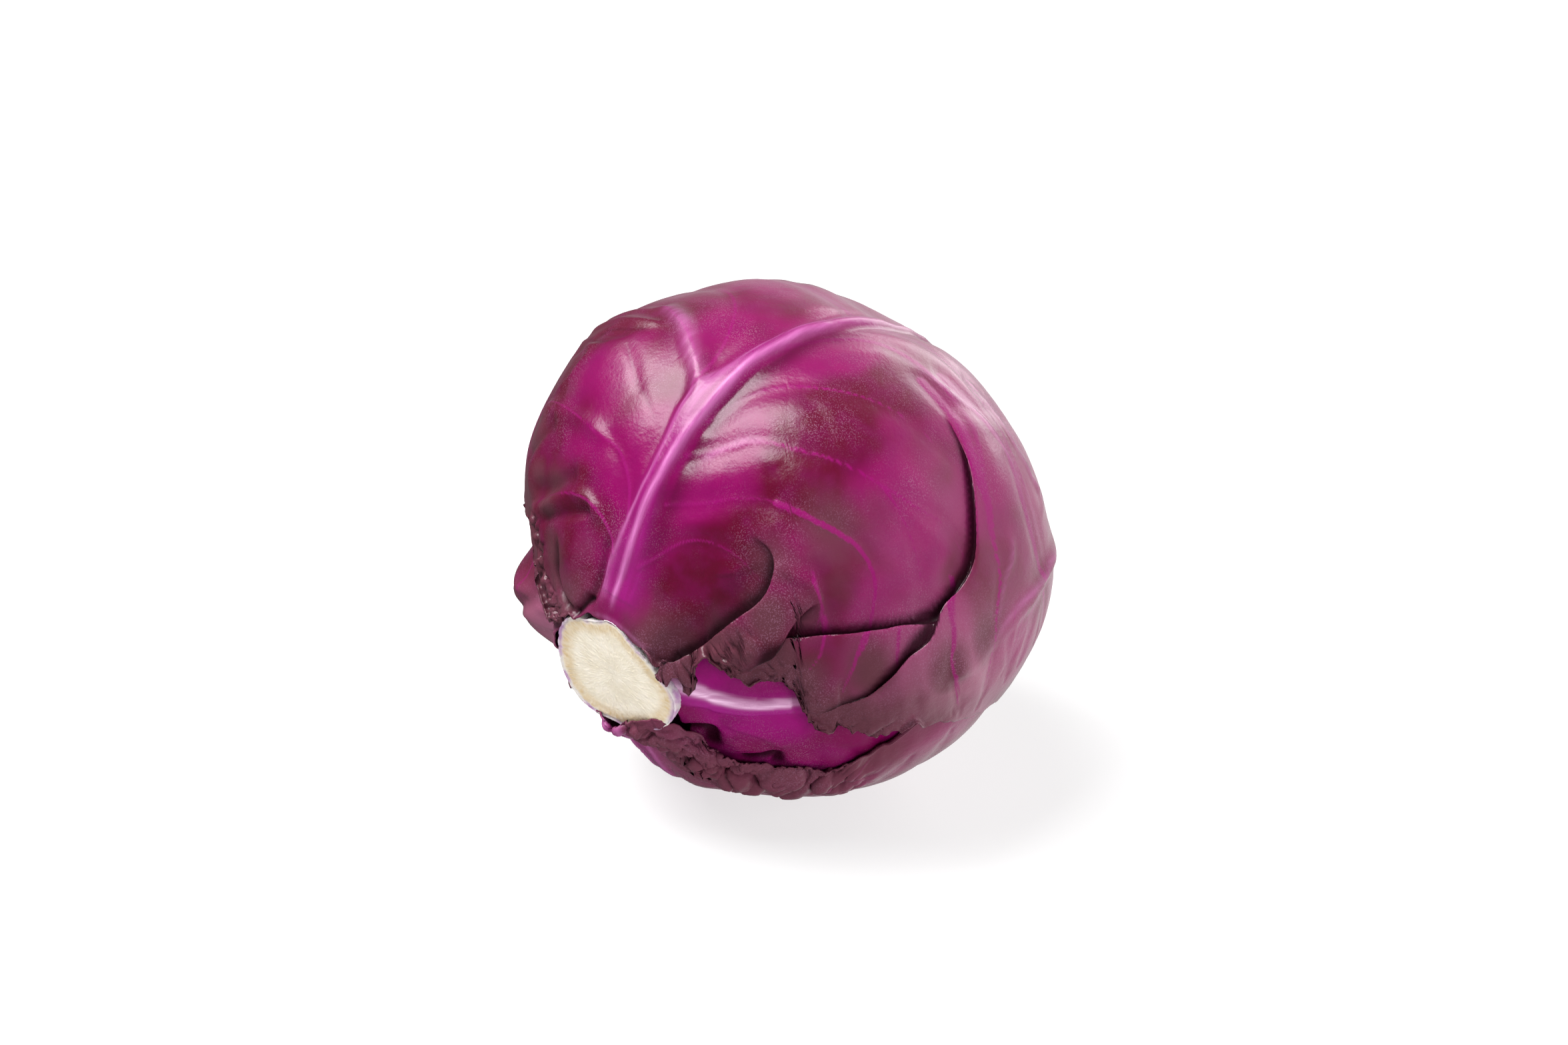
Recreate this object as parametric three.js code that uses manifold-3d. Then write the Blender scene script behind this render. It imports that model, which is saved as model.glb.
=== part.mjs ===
// A red cabbage head lying on its side: a cut stem, four wrapper leaves and the dense inner head.
// Millimetres and degrees, +Z up. The origin is on the resting spot, straight below the middle of the head.
// The stem points along -Y and a little down. Every surface is a height over one flattened ball.
import * as THREE from "three";
import Module from "manifold-3d";

// ---- driving dimensions ----
const HEAD = {
  equatorRadius: 78, // across the stem's axis
  polarRadius: 70, // along the stem's axis
  stemPitch: 11.8, // how far the stem points below level
  flatDepth: 3.2, // how much of the ball the resting spot takes off
};
const COLLAR = { depth: 1.2, spread: 20 }; // the hollow in the head that the stem stands in
const LEAF_THICKNESS = 1.2;
const LAYER_PITCH = 2.4; // from one leaf to the leaf under it
const INNER_HEAD_DEPTH = 9.4; // under the outermost leaf's layer
const STEM = {
  cutDistance: 71, // of the cut face, from the middle of the head
  // [distance from the middle of the head, radius]
  profile: [[44, 14.4], [52, 15.8], [60, 17.2], [65, 18.3], [68.5, 19.5], [70.4, 20], [71, 19.5]],
  sides: 36,
  // The outline as waves round the stem: [waves, share of the radius, turn of the first crest].
  outline: [[1, 0.085, -131], [2, 0.086, 85], [3, 0.058, -11], [4, 0.023, 17], [5, 0.033, 16]],
  socketGap: 0.5,
};

// ---- the head's own directions ----
const RAD = Math.PI / 180;
const pitch = HEAD.stemPitch * RAD;
const STEM_WAY = new THREE.Vector3(0, -Math.cos(pitch), -Math.sin(pitch));
const UP_WAY = new THREE.Vector3(0, -Math.sin(pitch), Math.cos(pitch)); // turn 0 round the stem
const SIDE_WAY = new THREE.Vector3(1, 0, 0); // turn 90 round the stem
const MM_PER_DEGREE = HEAD.equatorRadius * RAD;

const lowestReach = Math.hypot(
  HEAD.equatorRadius * Math.cos(pitch),
  HEAD.polarRadius * Math.sin(pitch),
);
const MIDDLE = new THREE.Vector3(0, 0, lowestReach - HEAD.flatDepth);

// The unit vector at an angle from the stem and a turn round it.
function wayTo(fromStem, turn) {
  const ring = Math.sin(fromStem * RAD);
  return new THREE.Vector3()
    .addScaledVector(STEM_WAY, Math.cos(fromStem * RAD))
    .addScaledVector(UP_WAY, ring * Math.cos(turn * RAD))
    .addScaledVector(SIDE_WAY, ring * Math.sin(turn * RAD));
}

const bell = (distance, width) => Math.exp(-((distance / width) ** 2));
const smooth = (low, high, value) => THREE.MathUtils.smoothstep(value, low, high);

// Wide swells that the whole head has: [angle from the stem, turn, width in degrees, height].
const SWELLS = [
  [58, -34, 30, 1.6],
  [72, 52, 34, 1.4],
  [96, -8, 26, -2.2],
  [104, 84, 30, 1.8],
  [62, 118, 26, -1.2],
  [118, 160, 34, 1.2],
  [70, -150, 30, 1.5],
  [150, 20, 30, -1.4],
].map(([fromStem, turn, width, height]) => ({ way: wayTo(fromStem, turn), width, height }));

// The distance from the middle of the head to its skin, with no leaf's own relief.
function skinRadius(way) {
  const along = way.dot(STEM_WAY);
  const across = Math.sqrt(Math.max(0, 1 - along * along));
  let radius = 1 / Math.hypot(along / HEAD.polarRadius, across / HEAD.equatorRadius);
  for (const swell of SWELLS) radius += swell.height * bell(way.angleTo(swell.way) / RAD, swell.width);
  return radius - COLLAR.depth * bell(way.angleTo(STEM_WAY) / RAD, COLLAR.spread);
}

// A point at that radius, held above the floor by the thickness of what lies under it.
function pointAt(way, radius, floorHeight) {
  const toFloor = way.z < 0 ? (MIDDLE.z - floorHeight) / -way.z : Infinity;
  return way.clone().multiplyScalar(Math.min(radius, toFloor)).add(MIDDLE);
}

// ---- curves ----
// The value of a curve through [position, value] pairs, level past its ends.
function throughPairs(pairs, at) {
  if (at <= pairs[0][0]) return pairs[0][1];
  const next = pairs.findIndex(([position]) => position > at);
  if (next < 0) return pairs[pairs.length - 1][1];
  const [[from, low], [to, high]] = [pairs[next - 1], pairs[next]];
  return low + (high - low) * smooth(from, to, at);
}

// A fold's smooth line through its [x, y] points, as short straight steps.
const lines = new Map();
function foldLine({ points }) {
  if (!lines.has(points)) {
    const curve = new THREE.SplineCurve(points.map(([x, y]) => new THREE.Vector2(x, y)));
    lines.set(points, curve.getPoints(24));
  }
  return lines.get(points);
}

// How far a place is from a line (plus on its left), the nearest point, and the share passed there.
function lineDistance(line, x, y) {
  let best = { distance: Infinity };
  for (let i = 0; i + 1 < line.length; i++) {
    const [a, b] = [line[i], line[i + 1]];
    const [dx, dy] = [b.x - a.x, b.y - a.y];
    const t = THREE.MathUtils.clamp(((x - a.x) * dx + (y - a.y) * dy) / (dx * dx + dy * dy), 0, 1);
    const foot = { x: a.x + dx * t, y: a.y + dy * t };
    const distance = Math.hypot(x - foot.x, y - foot.y);
    if (distance < Math.abs(best.distance)) {
      const side = dx * (y - foot.y) - dy * (x - foot.x) >= 0 ? 1 : -1;
      best = { distance: side * distance, foot, share: (i + t) / (line.length - 1) };
    }
  }
  return best;
}

// ---- the leaves ----
// Each leaf is centred 90 degrees from the stem. Its places are [x, y] in degrees from that centre:
// x away from the stem along the midrib, y round the head.
// reach is the leaf's outline, as [bearing from x, degrees from the centre].
// crinkle is how ruffled the edge is there, from 0 to 1.
const LEAVES = [
  {
    name: "wrapper_leaf_top",
    colour: "#8a1d6b",
    layer: 0,
    turn: 10,
    cells: 48,
    midrib: [[-72, -3.5], [-45, -2.6], [-20, -0.8], [0, 0.2], [16, 4], [60, 9], [104, 10]],
    ribHeight: [[-72, 3.2], [-50, 3.8], [-10, 2.8], [8, 1.6], [24, 0.7], [80, 0.4]],
    ribWidth: [[-72, 6], [-40, 4.4], [0, 3.4], [60, 2.4]],
    troughDepth: 1.2,
    reach: [
      [-180, 74], [-173, 74], [-168, 77.5], [-162, 82], [-157, 82.5], [-153, 84.5], [-147, 81.5],
      [-141, 78.5], [-130, 79.5], [-118, 83], [-105, 87], [-90, 90], [-60, 96], [-30, 101], [0, 104],
      [30, 104], [60, 106], [83, 107], [94, 102], [102, 97], [110, 93], [119, 94], [129, 91], [135, 87.5],
      [137.5, 81], [143, 78], [149, 80], [155, 79], [160.5, 84], [165, 82.5], [168, 80.5], [172, 77],
      [177, 75], [180, 74],
    ],
    crinkle: [
      [-180, 0], [-172, 0], [-164, 0.7], [-150, 0.8], [-138, 0.4], [-120, 0.1], [-90, 0.1], [90, 0.2],
      [110, 0.4], [130, 0.7], [150, 0.8], [165, 0.6], [174, 0], [180, 0],
    ],
    // Folds, as [x, y] points with the raised side on the left, and how high that side stands.
    folds: [
      {
        lip: 2.4,
        points: [[-62, 40], [-48, 47], [-36, 57], [-23, 65], [-8, 64], [3, 56], [9, 42], [11, 32]],
      },
      { lip: 1.8, points: [[-64, 66], [-46, 72], [-34, 71], [-22, 69], [-10, 68]] },
      { lip: 1.8, points: [[-72, 27], [-62, 31], [-52, 34], [-43, 33], [-40, 26], [-40, 20]] },
    ],
    // Swells and hollows between the veins: [x, y, width, height].
    lifts: [
      [-21, -20, 10, 1.5], [-36, -29, 8, 1.2], [-48, -30, 5, -1.5], [-8, -52, 9, 1.8], [13, -36, 9, -1.2],
      [34, 0, 15, -3.2], [-79, 10, 8, 2], [-20, 20, 16, 1.2], [-54, 20, 9, -1.6], [-12, 44, 14, 0.8],
      [38, 78, 16, 0.9],
    ],
  },
  {
    name: "wrapper_leaf_under",
    colour: "#7a3059",
    layer: 1,
    turn: 188,
    cells: 26,
    midrib: [[-72, 2], [0, 0], [90, -6]],
    ribHeight: [[-72, 2.6], [-30, 2.4], [30, 1], [80, 0.2]],
    ribWidth: [[-72, 6], [0, 4], [60, 3]],
    troughDepth: 0.3,
    reach: [
      [-180, 72.5], [-172, 74], [-166, 79.5], [-161, 83], [-158, 80], [-153, 77], [-147, 75], [-141, 74],
      [-136, 71.5], [-131, 67.5], [-127.5, 66.7], [-125, 69.3], [-120.5, 73], [-115.5, 77], [-107.5, 83.4],
      [-95, 88], [-80, 90], [-40, 93], [0, 96], [20, 92], [40, 82], [60, 68], [90, 58], [115, 52], [138, 51],
      [150, 62], [158, 72], [165, 75.5], [172, 71.5], [180, 72],
    ],
    crinkle: [
      [-180, 0], [-172, 0.3], [-160, 0.9], [-136, 1], [-128, 0.4], [-115, 0.1], [-90, 0.1], [90, 0.1],
      [120, 0.3], [145, 0.8], [162, 1], [172, 0.3], [180, 0],
    ],
    folds: [],
    lifts: [[-47, -9, 9, 3.2], [-66, 21, 8, 6]],
  },
  {
    name: "wrapper_leaf_front",
    colour: "#9a1a7c",
    layer: 2,
    turn: 90,
    cells: 20,
    midrib: [[-72, -1], [-50, 1], [0, 4], [80, 6]],
    ribHeight: [[-74, 6], [-62, 4.6], [-48, 3.4], [-34, 0.2], [80, 0.1]],
    ribWidth: [[-74, 9], [-60, 6], [-40, 4.6], [60, 3]],
    troughDepth: 0.3,
    reach: [
      [-180, 71], [-168, 74], [-155, 77], [-135, 78], [-90, 76], [-30, 80], [0, 86], [30, 86], [90, 82],
      [135, 80], [155, 77], [168, 74], [180, 71],
    ],
    crinkle: [[-180, 0], [180, 0]],
    folds: [],
    lifts: [],
  },
  {
    name: "wrapper_leaf_side",
    colour: "#a03a78",
    layer: 3,
    turn: -88,
    cells: 16,
    midrib: [[-72, 1], [0, -2], [80, -4]],
    ribHeight: [[-72, 3], [-40, 2.4], [-20, 0.2], [80, 0.1]],
    ribWidth: [[-72, 6], [0, 4.4], [60, 3]],
    troughDepth: 0.3,
    reach: [
      [-180, 71], [-168, 74], [-155, 77], [-135, 80], [-90, 82], [-30, 85], [0, 87], [30, 85], [90, 82],
      [135, 80], [155, 77], [168, 74], [180, 71],
    ],
    crinkle: [[-180, 0], [180, 0]],
    folds: [],
    lifts: [[-51, -11, 15, 13.5]],
  },
];
// waves is [waves round the whole edge, share of the height], and band is a share of the leaf.
const RUFFLE = { waves: [[17, 0.3], [29, 0.2]], height: 3, band: 0.2 };
const FOLD = { slope: 2, hollow: 0.9, hollowWidth: 7, run: 42 }; // mm beside a fold
const GATHER = { share: 0.55, width: 9 }; // how the grid closes up along a fold, and over how many degrees

// The place on the leaf for a square grid's (u, v), each from -1 to 1: a disc, stretched to the outline.
function leafPlace(leaf, u, v) {
  const [dx, dy] = [u * Math.sqrt(1 - (v * v) / 2), v * Math.sqrt(1 - (u * u) / 2)];
  const share = Math.hypot(dx, dy);
  const bearing = Math.atan2(dy, dx) / RAD;
  const reach = share * throughPairs(leaf.reach, bearing);
  let x = reach * Math.cos(bearing * RAD);
  let y = reach * Math.sin(bearing * RAD) + throughPairs(leaf.midrib, x) * (1 - share ** 4);
  for (const fold of leaf.folds) {
    const { distance, foot } = lineDistance(foldLine(fold), x, y);
    const pull = GATHER.share * bell(distance, GATHER.width) * (1 - share ** 6);
    x += (foot.x - x) * pull;
    y += (foot.y - y) * pull;
  }
  return { x, y, share, bearing };
}

// The unit vector to a place on a leaf.
function leafWay(leaf, x, y) {
  const [centre, round] = [wayTo(90, leaf.turn), wayTo(90, leaf.turn + 90)];
  const far = Math.hypot(x, y);
  if (far < 1e-9) return centre;
  return centre
    .multiplyScalar(Math.cos(far * RAD))
    .addScaledVector(STEM_WAY, (-Math.sin(far * RAD) * x) / far)
    .addScaledVector(round, (Math.sin(far * RAD) * y) / far);
}

// The leaf's own relief over its layer, in millimetres.
function leafRelief(leaf, place) {
  const { x, y, share, bearing } = place;
  const fromRib = (y - throughPairs(leaf.midrib, x)) * MM_PER_DEGREE;
  const ribWidth = throughPairs(leaf.ribWidth, x);
  const inland = 1 - smooth(0.86, 1, share) * (x > 0 ? 1 : 0);
  let relief = throughPairs(leaf.ribHeight, x) * bell(fromRib, ribWidth) * inland;
  relief -= leaf.troughDepth * bell(Math.abs(fromRib) - 2.4 * ribWidth, ribWidth) * (1 - share ** 4);

  for (const fold of leaf.folds) {
    const { distance, share: passed } = lineDistance(foldLine(fold), x, y);
    const beside = distance * MM_PER_DEGREE;
    const strength = smooth(0, 0.12, passed) * (1 - smooth(0.75, 1, passed));
    const raised = smooth(-FOLD.slope, FOLD.slope, beside) * bell(Math.max(beside, 0), FOLD.run);
    relief += fold.lip * strength * raised;
    relief -= FOLD.hollow * strength * bell(beside + FOLD.slope, FOLD.hollowWidth);
  }
  for (const [liftX, liftY, width, height] of leaf.lifts) {
    relief += height * bell(Math.hypot(x - liftX, y - liftY), width);
  }
  let wave = 0.5;
  for (const [waves, amount] of RUFFLE.waves) wave += amount * Math.sin(bearing * RAD * waves + leaf.turn);
  const edge = smooth(1 - RUFFLE.band, 1, share) * throughPairs(leaf.crinkle, bearing);
  return relief + edge * RUFFLE.height * wave;
}

// Grid lines from -1 to 1, closer together at the middle, where the midrib is.
function gridLines(cells, gather) {
  return Array.from({ length: cells + 1 }, (_, i) => {
    const t = (2 * i) / cells - 1;
    return t * (1 - gather * (1 - t * t));
  });
}

// One leaf as a closed solid: an outer face, an inner face split along the same diagonals, and a rim.
function leafGeometry(leaf) {
  const along = gridLines(leaf.cells, 0);
  const across = gridLines(leaf.cells, 0.5);
  const row = leaf.cells + 1;
  const faceSize = row * row;
  const floorHeight = leaf.layer === 0 ? 0 : (leaf.layer - 1) * LAYER_PITCH;
  const positions = new Float32Array(faceSize * 2 * 3);
  for (let i = 0; i < row; i++) {
    for (let j = 0; j < row; j++) {
      const place = leafPlace(leaf, along[i], across[j]);
      const way = leafWay(leaf, place.x, place.y);
      const outer = skinRadius(way) - leaf.layer * LAYER_PITCH + leafRelief(leaf, place);
      const inner = outer - LEAF_THICKNESS;
      const at = (i * row + j) * 3;
      pointAt(way, outer, floorHeight).toArray(positions, at);
      pointAt(way, inner, floorHeight + LEAF_THICKNESS).toArray(positions, faceSize * 3 + at);
    }
  }
  const faces = [];
  const quad = (a, b, c, d) => faces.push(a, b, c, a, c, d);
  const apart = (a, b) => {
    const [from, to] = [a, b].map((corner) => new THREE.Vector3().fromArray(positions, corner * 3));
    return from.distanceTo(to);
  };
  for (let i = 0; i < leaf.cells; i++) {
    for (let j = 0; j < leaf.cells; j++) {
      const corners = [i * row + j, (i + 1) * row + j, (i + 1) * row + j + 1, i * row + j + 1];
      if (apart(corners[1], corners[3]) < apart(corners[0], corners[2])) corners.push(corners.shift());
      const [a, b, c, d] = corners;
      quad(a, b, c, d);
      quad(a + faceSize, d + faceSize, c + faceSize, b + faceSize);
    }
  }
  const last = leaf.cells;
  for (let k = 0; k < leaf.cells; k++) {
    const sides = [
      [k * row, (k + 1) * row],
      [(k + 1) * row + last, k * row + last],
      [k + 1, k],
      [last * row + k, last * row + k + 1],
    ];
    for (const [a, b] of sides) quad(b, a, a + faceSize, b + faceSize);
  }
  return closedGeometry(positions, faces);
}

// A buffer geometry from positions and triangles, turned so that its faces point out.
function closedGeometry(positions, faces) {
  const [a, b, c] = [new THREE.Vector3(), new THREE.Vector3(), new THREE.Vector3()];
  let volume = 0;
  for (let i = 0; i < faces.length; i += 3) {
    a.fromArray(positions, faces[i] * 3);
    b.fromArray(positions, faces[i + 1] * 3);
    c.fromArray(positions, faces[i + 2] * 3);
    volume += a.dot(b.cross(c));
  }
  if (volume < 0) faces.reverse();
  const geometry = new THREE.BufferGeometry();
  geometry.setAttribute("position", new THREE.BufferAttribute(positions, 3));
  geometry.setIndex(faces);
  return geometry;
}

// ---- stem and inner head ----
// The stem about its own axis, spread by a gap: a fluted, tapering plug with a flat cut face.
function stemGeometry(gap, cutDistance) {
  const rings = STEM.profile.map(([distance, radius]) => [distance, radius + gap]);
  rings[0][0] -= gap;
  rings[rings.length - 1][0] = cutDistance;
  const positions = [];
  const place = (distance, radius, turn) => {
    let reach = radius;
    for (const [waves, amount, crest] of STEM.outline) {
      reach += radius * amount * Math.cos(waves * (turn - crest * RAD));
    }
    const [up, side] = [Math.cos(turn) * reach, Math.sin(turn) * reach];
    const point = MIDDLE.clone().addScaledVector(STEM_WAY, distance);
    positions.push(...point.addScaledVector(UP_WAY, up).addScaledVector(SIDE_WAY, side).toArray());
  };
  for (const [distance, radius] of rings) {
    for (let k = 0; k < STEM.sides; k++) place(distance, radius, (k / STEM.sides) * 2 * Math.PI);
  }
  place(rings[0][0], 0, 0);
  place(cutDistance, 0, 0);
  const [root, cut] = [positions.length / 3 - 2, positions.length / 3 - 1];
  const faces = [];
  const lastRing = (rings.length - 1) * STEM.sides;
  for (let k = 0; k < STEM.sides; k++) {
    const next = (k + 1) % STEM.sides;
    for (let ring = 0; ring < lastRing; ring += STEM.sides) {
      faces.push(ring + k, ring + next, ring + next + STEM.sides);
      faces.push(ring + k, ring + next + STEM.sides, ring + k + STEM.sides);
    }
    faces.push(root, next, k);
    faces.push(cut, lastRing + k, lastRing + next);
  }
  return closedGeometry(new Float32Array(positions), faces);
}

const INNER = { detail: 7, edgeHeight: 0.9, edgeTurns: [40, 165, 285], edgeReach: 66 };

// The dense inner head, with the edges of its own tightly folded leaves in relief.
function innerHeadGeometry() {
  const ball = new THREE.IcosahedronGeometry(1, INNER.detail);
  const position = ball.getAttribute("position");
  const centres = INNER.edgeTurns.map((turn) => wayTo(100, turn));
  const way = new THREE.Vector3();
  for (let i = 0; i < position.count; i++) {
    way.fromBufferAttribute(position, i).normalize();
    let radius = skinRadius(way) - INNER_HEAD_DEPTH;
    for (const centre of centres) {
      const past = INNER.edgeReach - way.angleTo(centre) / RAD;
      radius -= INNER.edgeHeight * smooth(-2, 4, -past) * bell(past, 14);
    }
    pointAt(way, radius, INNER_HEAD_DEPTH).toArray(position.array, i * 3);
  }
  return ball;
}

// ---- solids ----
const wasm = await Module();
wasm.setup();

function toSolid(geometry) {
  const indexed = geometry.index ? geometry.toNonIndexed() : geometry;
  const points = indexed.getAttribute("position").array;
  const seen = new Map();
  const vertices = [];
  const triangles = new Uint32Array(points.length / 3);
  for (let i = 0; i < triangles.length; i++) {
    const point = Array.from(points.slice(i * 3, i * 3 + 3));
    const key = point.map((value) => value.toFixed(4)).join(" ");
    if (!seen.has(key)) {
      seen.set(key, seen.size);
      vertices.push(...point);
    }
    triangles[i] = seen.get(key);
  }
  const vertProperties = new Float32Array(vertices);
  return new wasm.Manifold(new wasm.Mesh({ numProp: 3, vertProperties, triVerts: triangles }));
}

function fromSolid(solid) {
  const mesh = solid.getMesh();
  const geometry = new THREE.BufferGeometry();
  geometry.setAttribute("position", new THREE.BufferAttribute(new Float32Array(mesh.vertProperties), 3));
  geometry.setIndex(new THREE.BufferAttribute(new Uint32Array(mesh.triVerts), 1));
  return geometry;
}

// ---- the head ----
const cabbage = new THREE.Group();

function addPiece(name, geometry, colour, roughness) {
  geometry.computeVertexNormals();
  const material = new THREE.MeshStandardMaterial({ color: colour, roughness, metalness: 0 });
  const mesh = new THREE.Mesh(geometry, material);
  mesh.name = name;
  cabbage.add(mesh);
}

addPiece("cut_stem", stemGeometry(0, STEM.cutDistance), "#efe6cf", 0.75);
const socket = toSolid(stemGeometry(STEM.socketGap, STEM.cutDistance + 5));
addPiece("inner_head", fromSolid(toSolid(innerHeadGeometry()).subtract(socket)), "#8c3f86", 0.5);
for (const leaf of LEAVES) addPiece(leaf.name, leafGeometry(leaf), leaf.colour, 0.38);

export default cabbage;
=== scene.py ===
# A red cabbage head on its side: four fine wrapper leaves and the cut stem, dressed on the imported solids.
# Leaf shapes are worked out in millimetres and degrees, and scaled to metres when a mesh is made.
import math
from types import SimpleNamespace
import bpy
import numpy as np
from mathutils import Matrix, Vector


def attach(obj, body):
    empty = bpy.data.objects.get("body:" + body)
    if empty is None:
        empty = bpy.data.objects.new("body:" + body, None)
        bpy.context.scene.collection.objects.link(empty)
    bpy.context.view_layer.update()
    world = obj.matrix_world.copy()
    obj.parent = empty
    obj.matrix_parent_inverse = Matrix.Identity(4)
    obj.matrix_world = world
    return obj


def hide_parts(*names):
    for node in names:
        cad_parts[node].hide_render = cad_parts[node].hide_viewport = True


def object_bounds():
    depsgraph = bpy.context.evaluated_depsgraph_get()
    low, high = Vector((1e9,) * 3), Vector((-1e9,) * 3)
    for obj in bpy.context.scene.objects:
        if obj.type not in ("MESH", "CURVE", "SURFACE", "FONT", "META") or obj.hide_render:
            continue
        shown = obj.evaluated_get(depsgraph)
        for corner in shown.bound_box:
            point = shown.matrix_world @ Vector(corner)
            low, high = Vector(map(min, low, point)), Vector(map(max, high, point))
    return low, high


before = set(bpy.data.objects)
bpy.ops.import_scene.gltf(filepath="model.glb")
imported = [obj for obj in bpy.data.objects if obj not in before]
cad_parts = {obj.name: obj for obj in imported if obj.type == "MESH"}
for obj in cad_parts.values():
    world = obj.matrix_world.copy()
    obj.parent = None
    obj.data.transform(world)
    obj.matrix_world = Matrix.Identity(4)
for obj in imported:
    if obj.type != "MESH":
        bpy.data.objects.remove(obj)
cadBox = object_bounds()
print("frame loaded, CAD box", [[round(c, 4) for c in corner] for corner in cadBox])
rad = math.pi / 180
metre = 0.001  # one millimetre, in metres

# the head's own form
headForm = {
    "equatorRadius": 78.0,  # across the stem
    "polarRadius": 70.0,  # along the stem
    "stemPitch": 11.8,  # degrees the stem points below level
    "flatDepth": 3.2,  # what the resting spot takes off the ball
    "collarDepth": 1.2,  # hollow round the stem
    "collarSpread": 20.0,
    "layerPitch": 2.4,  # one leaf to the next
    # soft swells of the whole head: degrees from the stem, turn round it, width, height
    "swells": [
        (58, -34, 30, 1.6), (72, 52, 34, 1.4), (96, -8, 26, -2.2), (104, 84, 30, 1.8),
        (62, 118, 26, -1.2), (118, 160, 34, 1.2), (70, -150, 30, 1.5), (150, 20, 30, -1.4),
    ],
}
pitch = headForm["stemPitch"] * rad
stemWay = np.array([0.0, -math.cos(pitch), -math.sin(pitch)])
upWay = np.array([0.0, -math.sin(pitch), math.cos(pitch)])
sideWay = np.array([1.0, 0.0, 0.0])
mmPerDegree = headForm["equatorRadius"] * rad
lowReach = math.hypot(headForm["equatorRadius"] * math.cos(pitch), headForm["polarRadius"] * math.sin(pitch))
middle = np.array([0.0, 0.0, lowReach - headForm["flatDepth"]])


def wayTo(fromStem, turn):
    ring = math.sin(fromStem * rad)
    across = math.cos(turn * rad) * upWay + math.sin(turn * rad) * sideWay
    return math.cos(fromStem * rad) * stemWay + ring * across


def bell(distance, width):
    return np.exp(-((distance / width) ** 2))


def smooth(low, high, value):
    t = np.clip((value - low) / (high - low), 0.0, 1.0)
    return t * t * (3.0 - 2.0 * t)


def angleTo(way, other):
    return np.arccos(np.clip(way @ other, -1.0, 1.0)) / rad


def skinRadius(way):
    along = way @ stemWay
    across = np.sqrt(np.clip(1.0 - along * along, 0.0, 1.0))
    radius = 1.0 / np.hypot(along / headForm["polarRadius"], across / headForm["equatorRadius"])
    for fromStem, turn, width, height in headForm["swells"]:
        radius = radius + height * bell(angleTo(way, wayTo(fromStem, turn)), width)
    return radius - headForm["collarDepth"] * bell(angleTo(way, stemWay), headForm["collarSpread"])


def pointAt(way, radius, floorHeight):
    # out from the middle to the skin, or to the floor where that comes first
    down = np.minimum(way[..., 2], -1e-6)
    toFloor = np.where(way[..., 2] < 0, (middle[2] - floorHeight) / -down, np.inf)
    return way * np.minimum(radius, toFloor)[..., None] + middle


# curves and noise
farAway = 1e3  # a distance in degrees past every line


def throughPairs(pairs, at):
    # soft steps through pairs of place and value
    table = np.array(pairs, float)
    k = np.clip(np.searchsorted(table[:, 0], at, side="right"), 1, len(table) - 1)
    low, high = table[k - 1], table[k]
    return low[..., 1] + (high[..., 1] - low[..., 1]) * smooth(low[..., 0], high[..., 0], at)


def softLine(points, steps=8):
    # a Catmull-Rom line through the points
    p = np.array(points, float)
    p = np.vstack([2 * p[0] - p[1], p, 2 * p[-1] - p[-2]])
    line = []
    for k in range(1, len(p) - 2):
        for t in np.arange(steps) / steps:
            a = 2 * p[k] + (p[k + 1] - p[k - 1]) * t
            b = (2 * p[k - 1] - 5 * p[k] + 4 * p[k + 1] - p[k + 2]) * t ** 2
            c = (3 * p[k] - p[k - 1] - 3 * p[k + 1] + p[k + 2]) * t ** 3
            line.append((a + b + c) / 2)
    return np.array(line + [p[-2]])


def alongCurve(pairs, at):
    # the height, at these places, of a soft curve through the pairs
    line = softLine(pairs)
    return np.interp(at, line[:, 0], line[:, 1])


def lineDistance(line, x, y):
    # signed distance in degrees (plus on the left), share of the line passed, and the left-hand way
    best = np.full(x.shape, np.inf)
    side, passed = np.ones(x.shape), np.zeros(x.shape)
    leftX, leftY = np.zeros(x.shape), np.zeros(x.shape)
    count = len(line) - 1
    for k in range(count):
        (ax, ay), (bx, by) = line[k], line[k + 1]
        dx, dy = bx - ax, by - ay
        squared = dx * dx + dy * dy
        if squared < 1e-12:
            continue
        t = np.clip(((x - ax) * dx + (y - ay) * dy) / squared, 0.0, 1.0)
        gapX, gapY = x - ax - dx * t, y - ay - dy * t
        distance = np.hypot(gapX, gapY)
        near = distance < best
        best = np.where(near, distance, best)
        side = np.where(near, np.where(dx * gapY - dy * gapX >= 0, 1.0, -1.0), side)
        passed = np.where(near, (k + t) / count, passed)
        leftX = np.where(near, -dy / math.sqrt(squared), leftX)
        leftY = np.where(near, dx / math.sqrt(squared), leftY)
    return side * best, passed, leftX, leftY


def nearLine(points, x, y, margin):
    # lineDistance, worked out only where the line is within the margin (degrees)
    line = softLine(points)
    low, high = line.min(0) - margin, line.max(0) + margin
    close = (x > low[0]) & (x < high[0]) & (y > low[1]) & (y < high[1])
    out = [np.full(x.shape, farAway), np.zeros(x.shape), np.zeros(x.shape), np.zeros(x.shape)]
    if close.any():
        for whole, part in zip(out, lineDistance(line, x[close], y[close])):
            whole[close] = part
    return out


def softNoise(x, y, size, seed):
    # smooth random hills between -1 and 1, one every size
    count = 64
    table = np.random.default_rng(seed).uniform(-1.0, 1.0, (count, count))
    u, v = x / size + 31.7, y / size + 17.3  # the pattern's own edges fall clear of the leaf's middle
    i, j = np.floor(u).astype(int), np.floor(v).astype(int)
    s, t = u - i, v - j
    s, t = s * s * s * (s * (6 * s - 15) + 10), t * t * t * (t * (6 * t - 15) + 10)
    low = table[i % count, j % count] * (1 - s) + table[(i + 1) % count, j % count] * s
    high = table[i % count, (j + 1) % count] * (1 - s) + table[(i + 1) % count, (j + 1) % count] * s
    return low * (1 - t) + high * t


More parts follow.
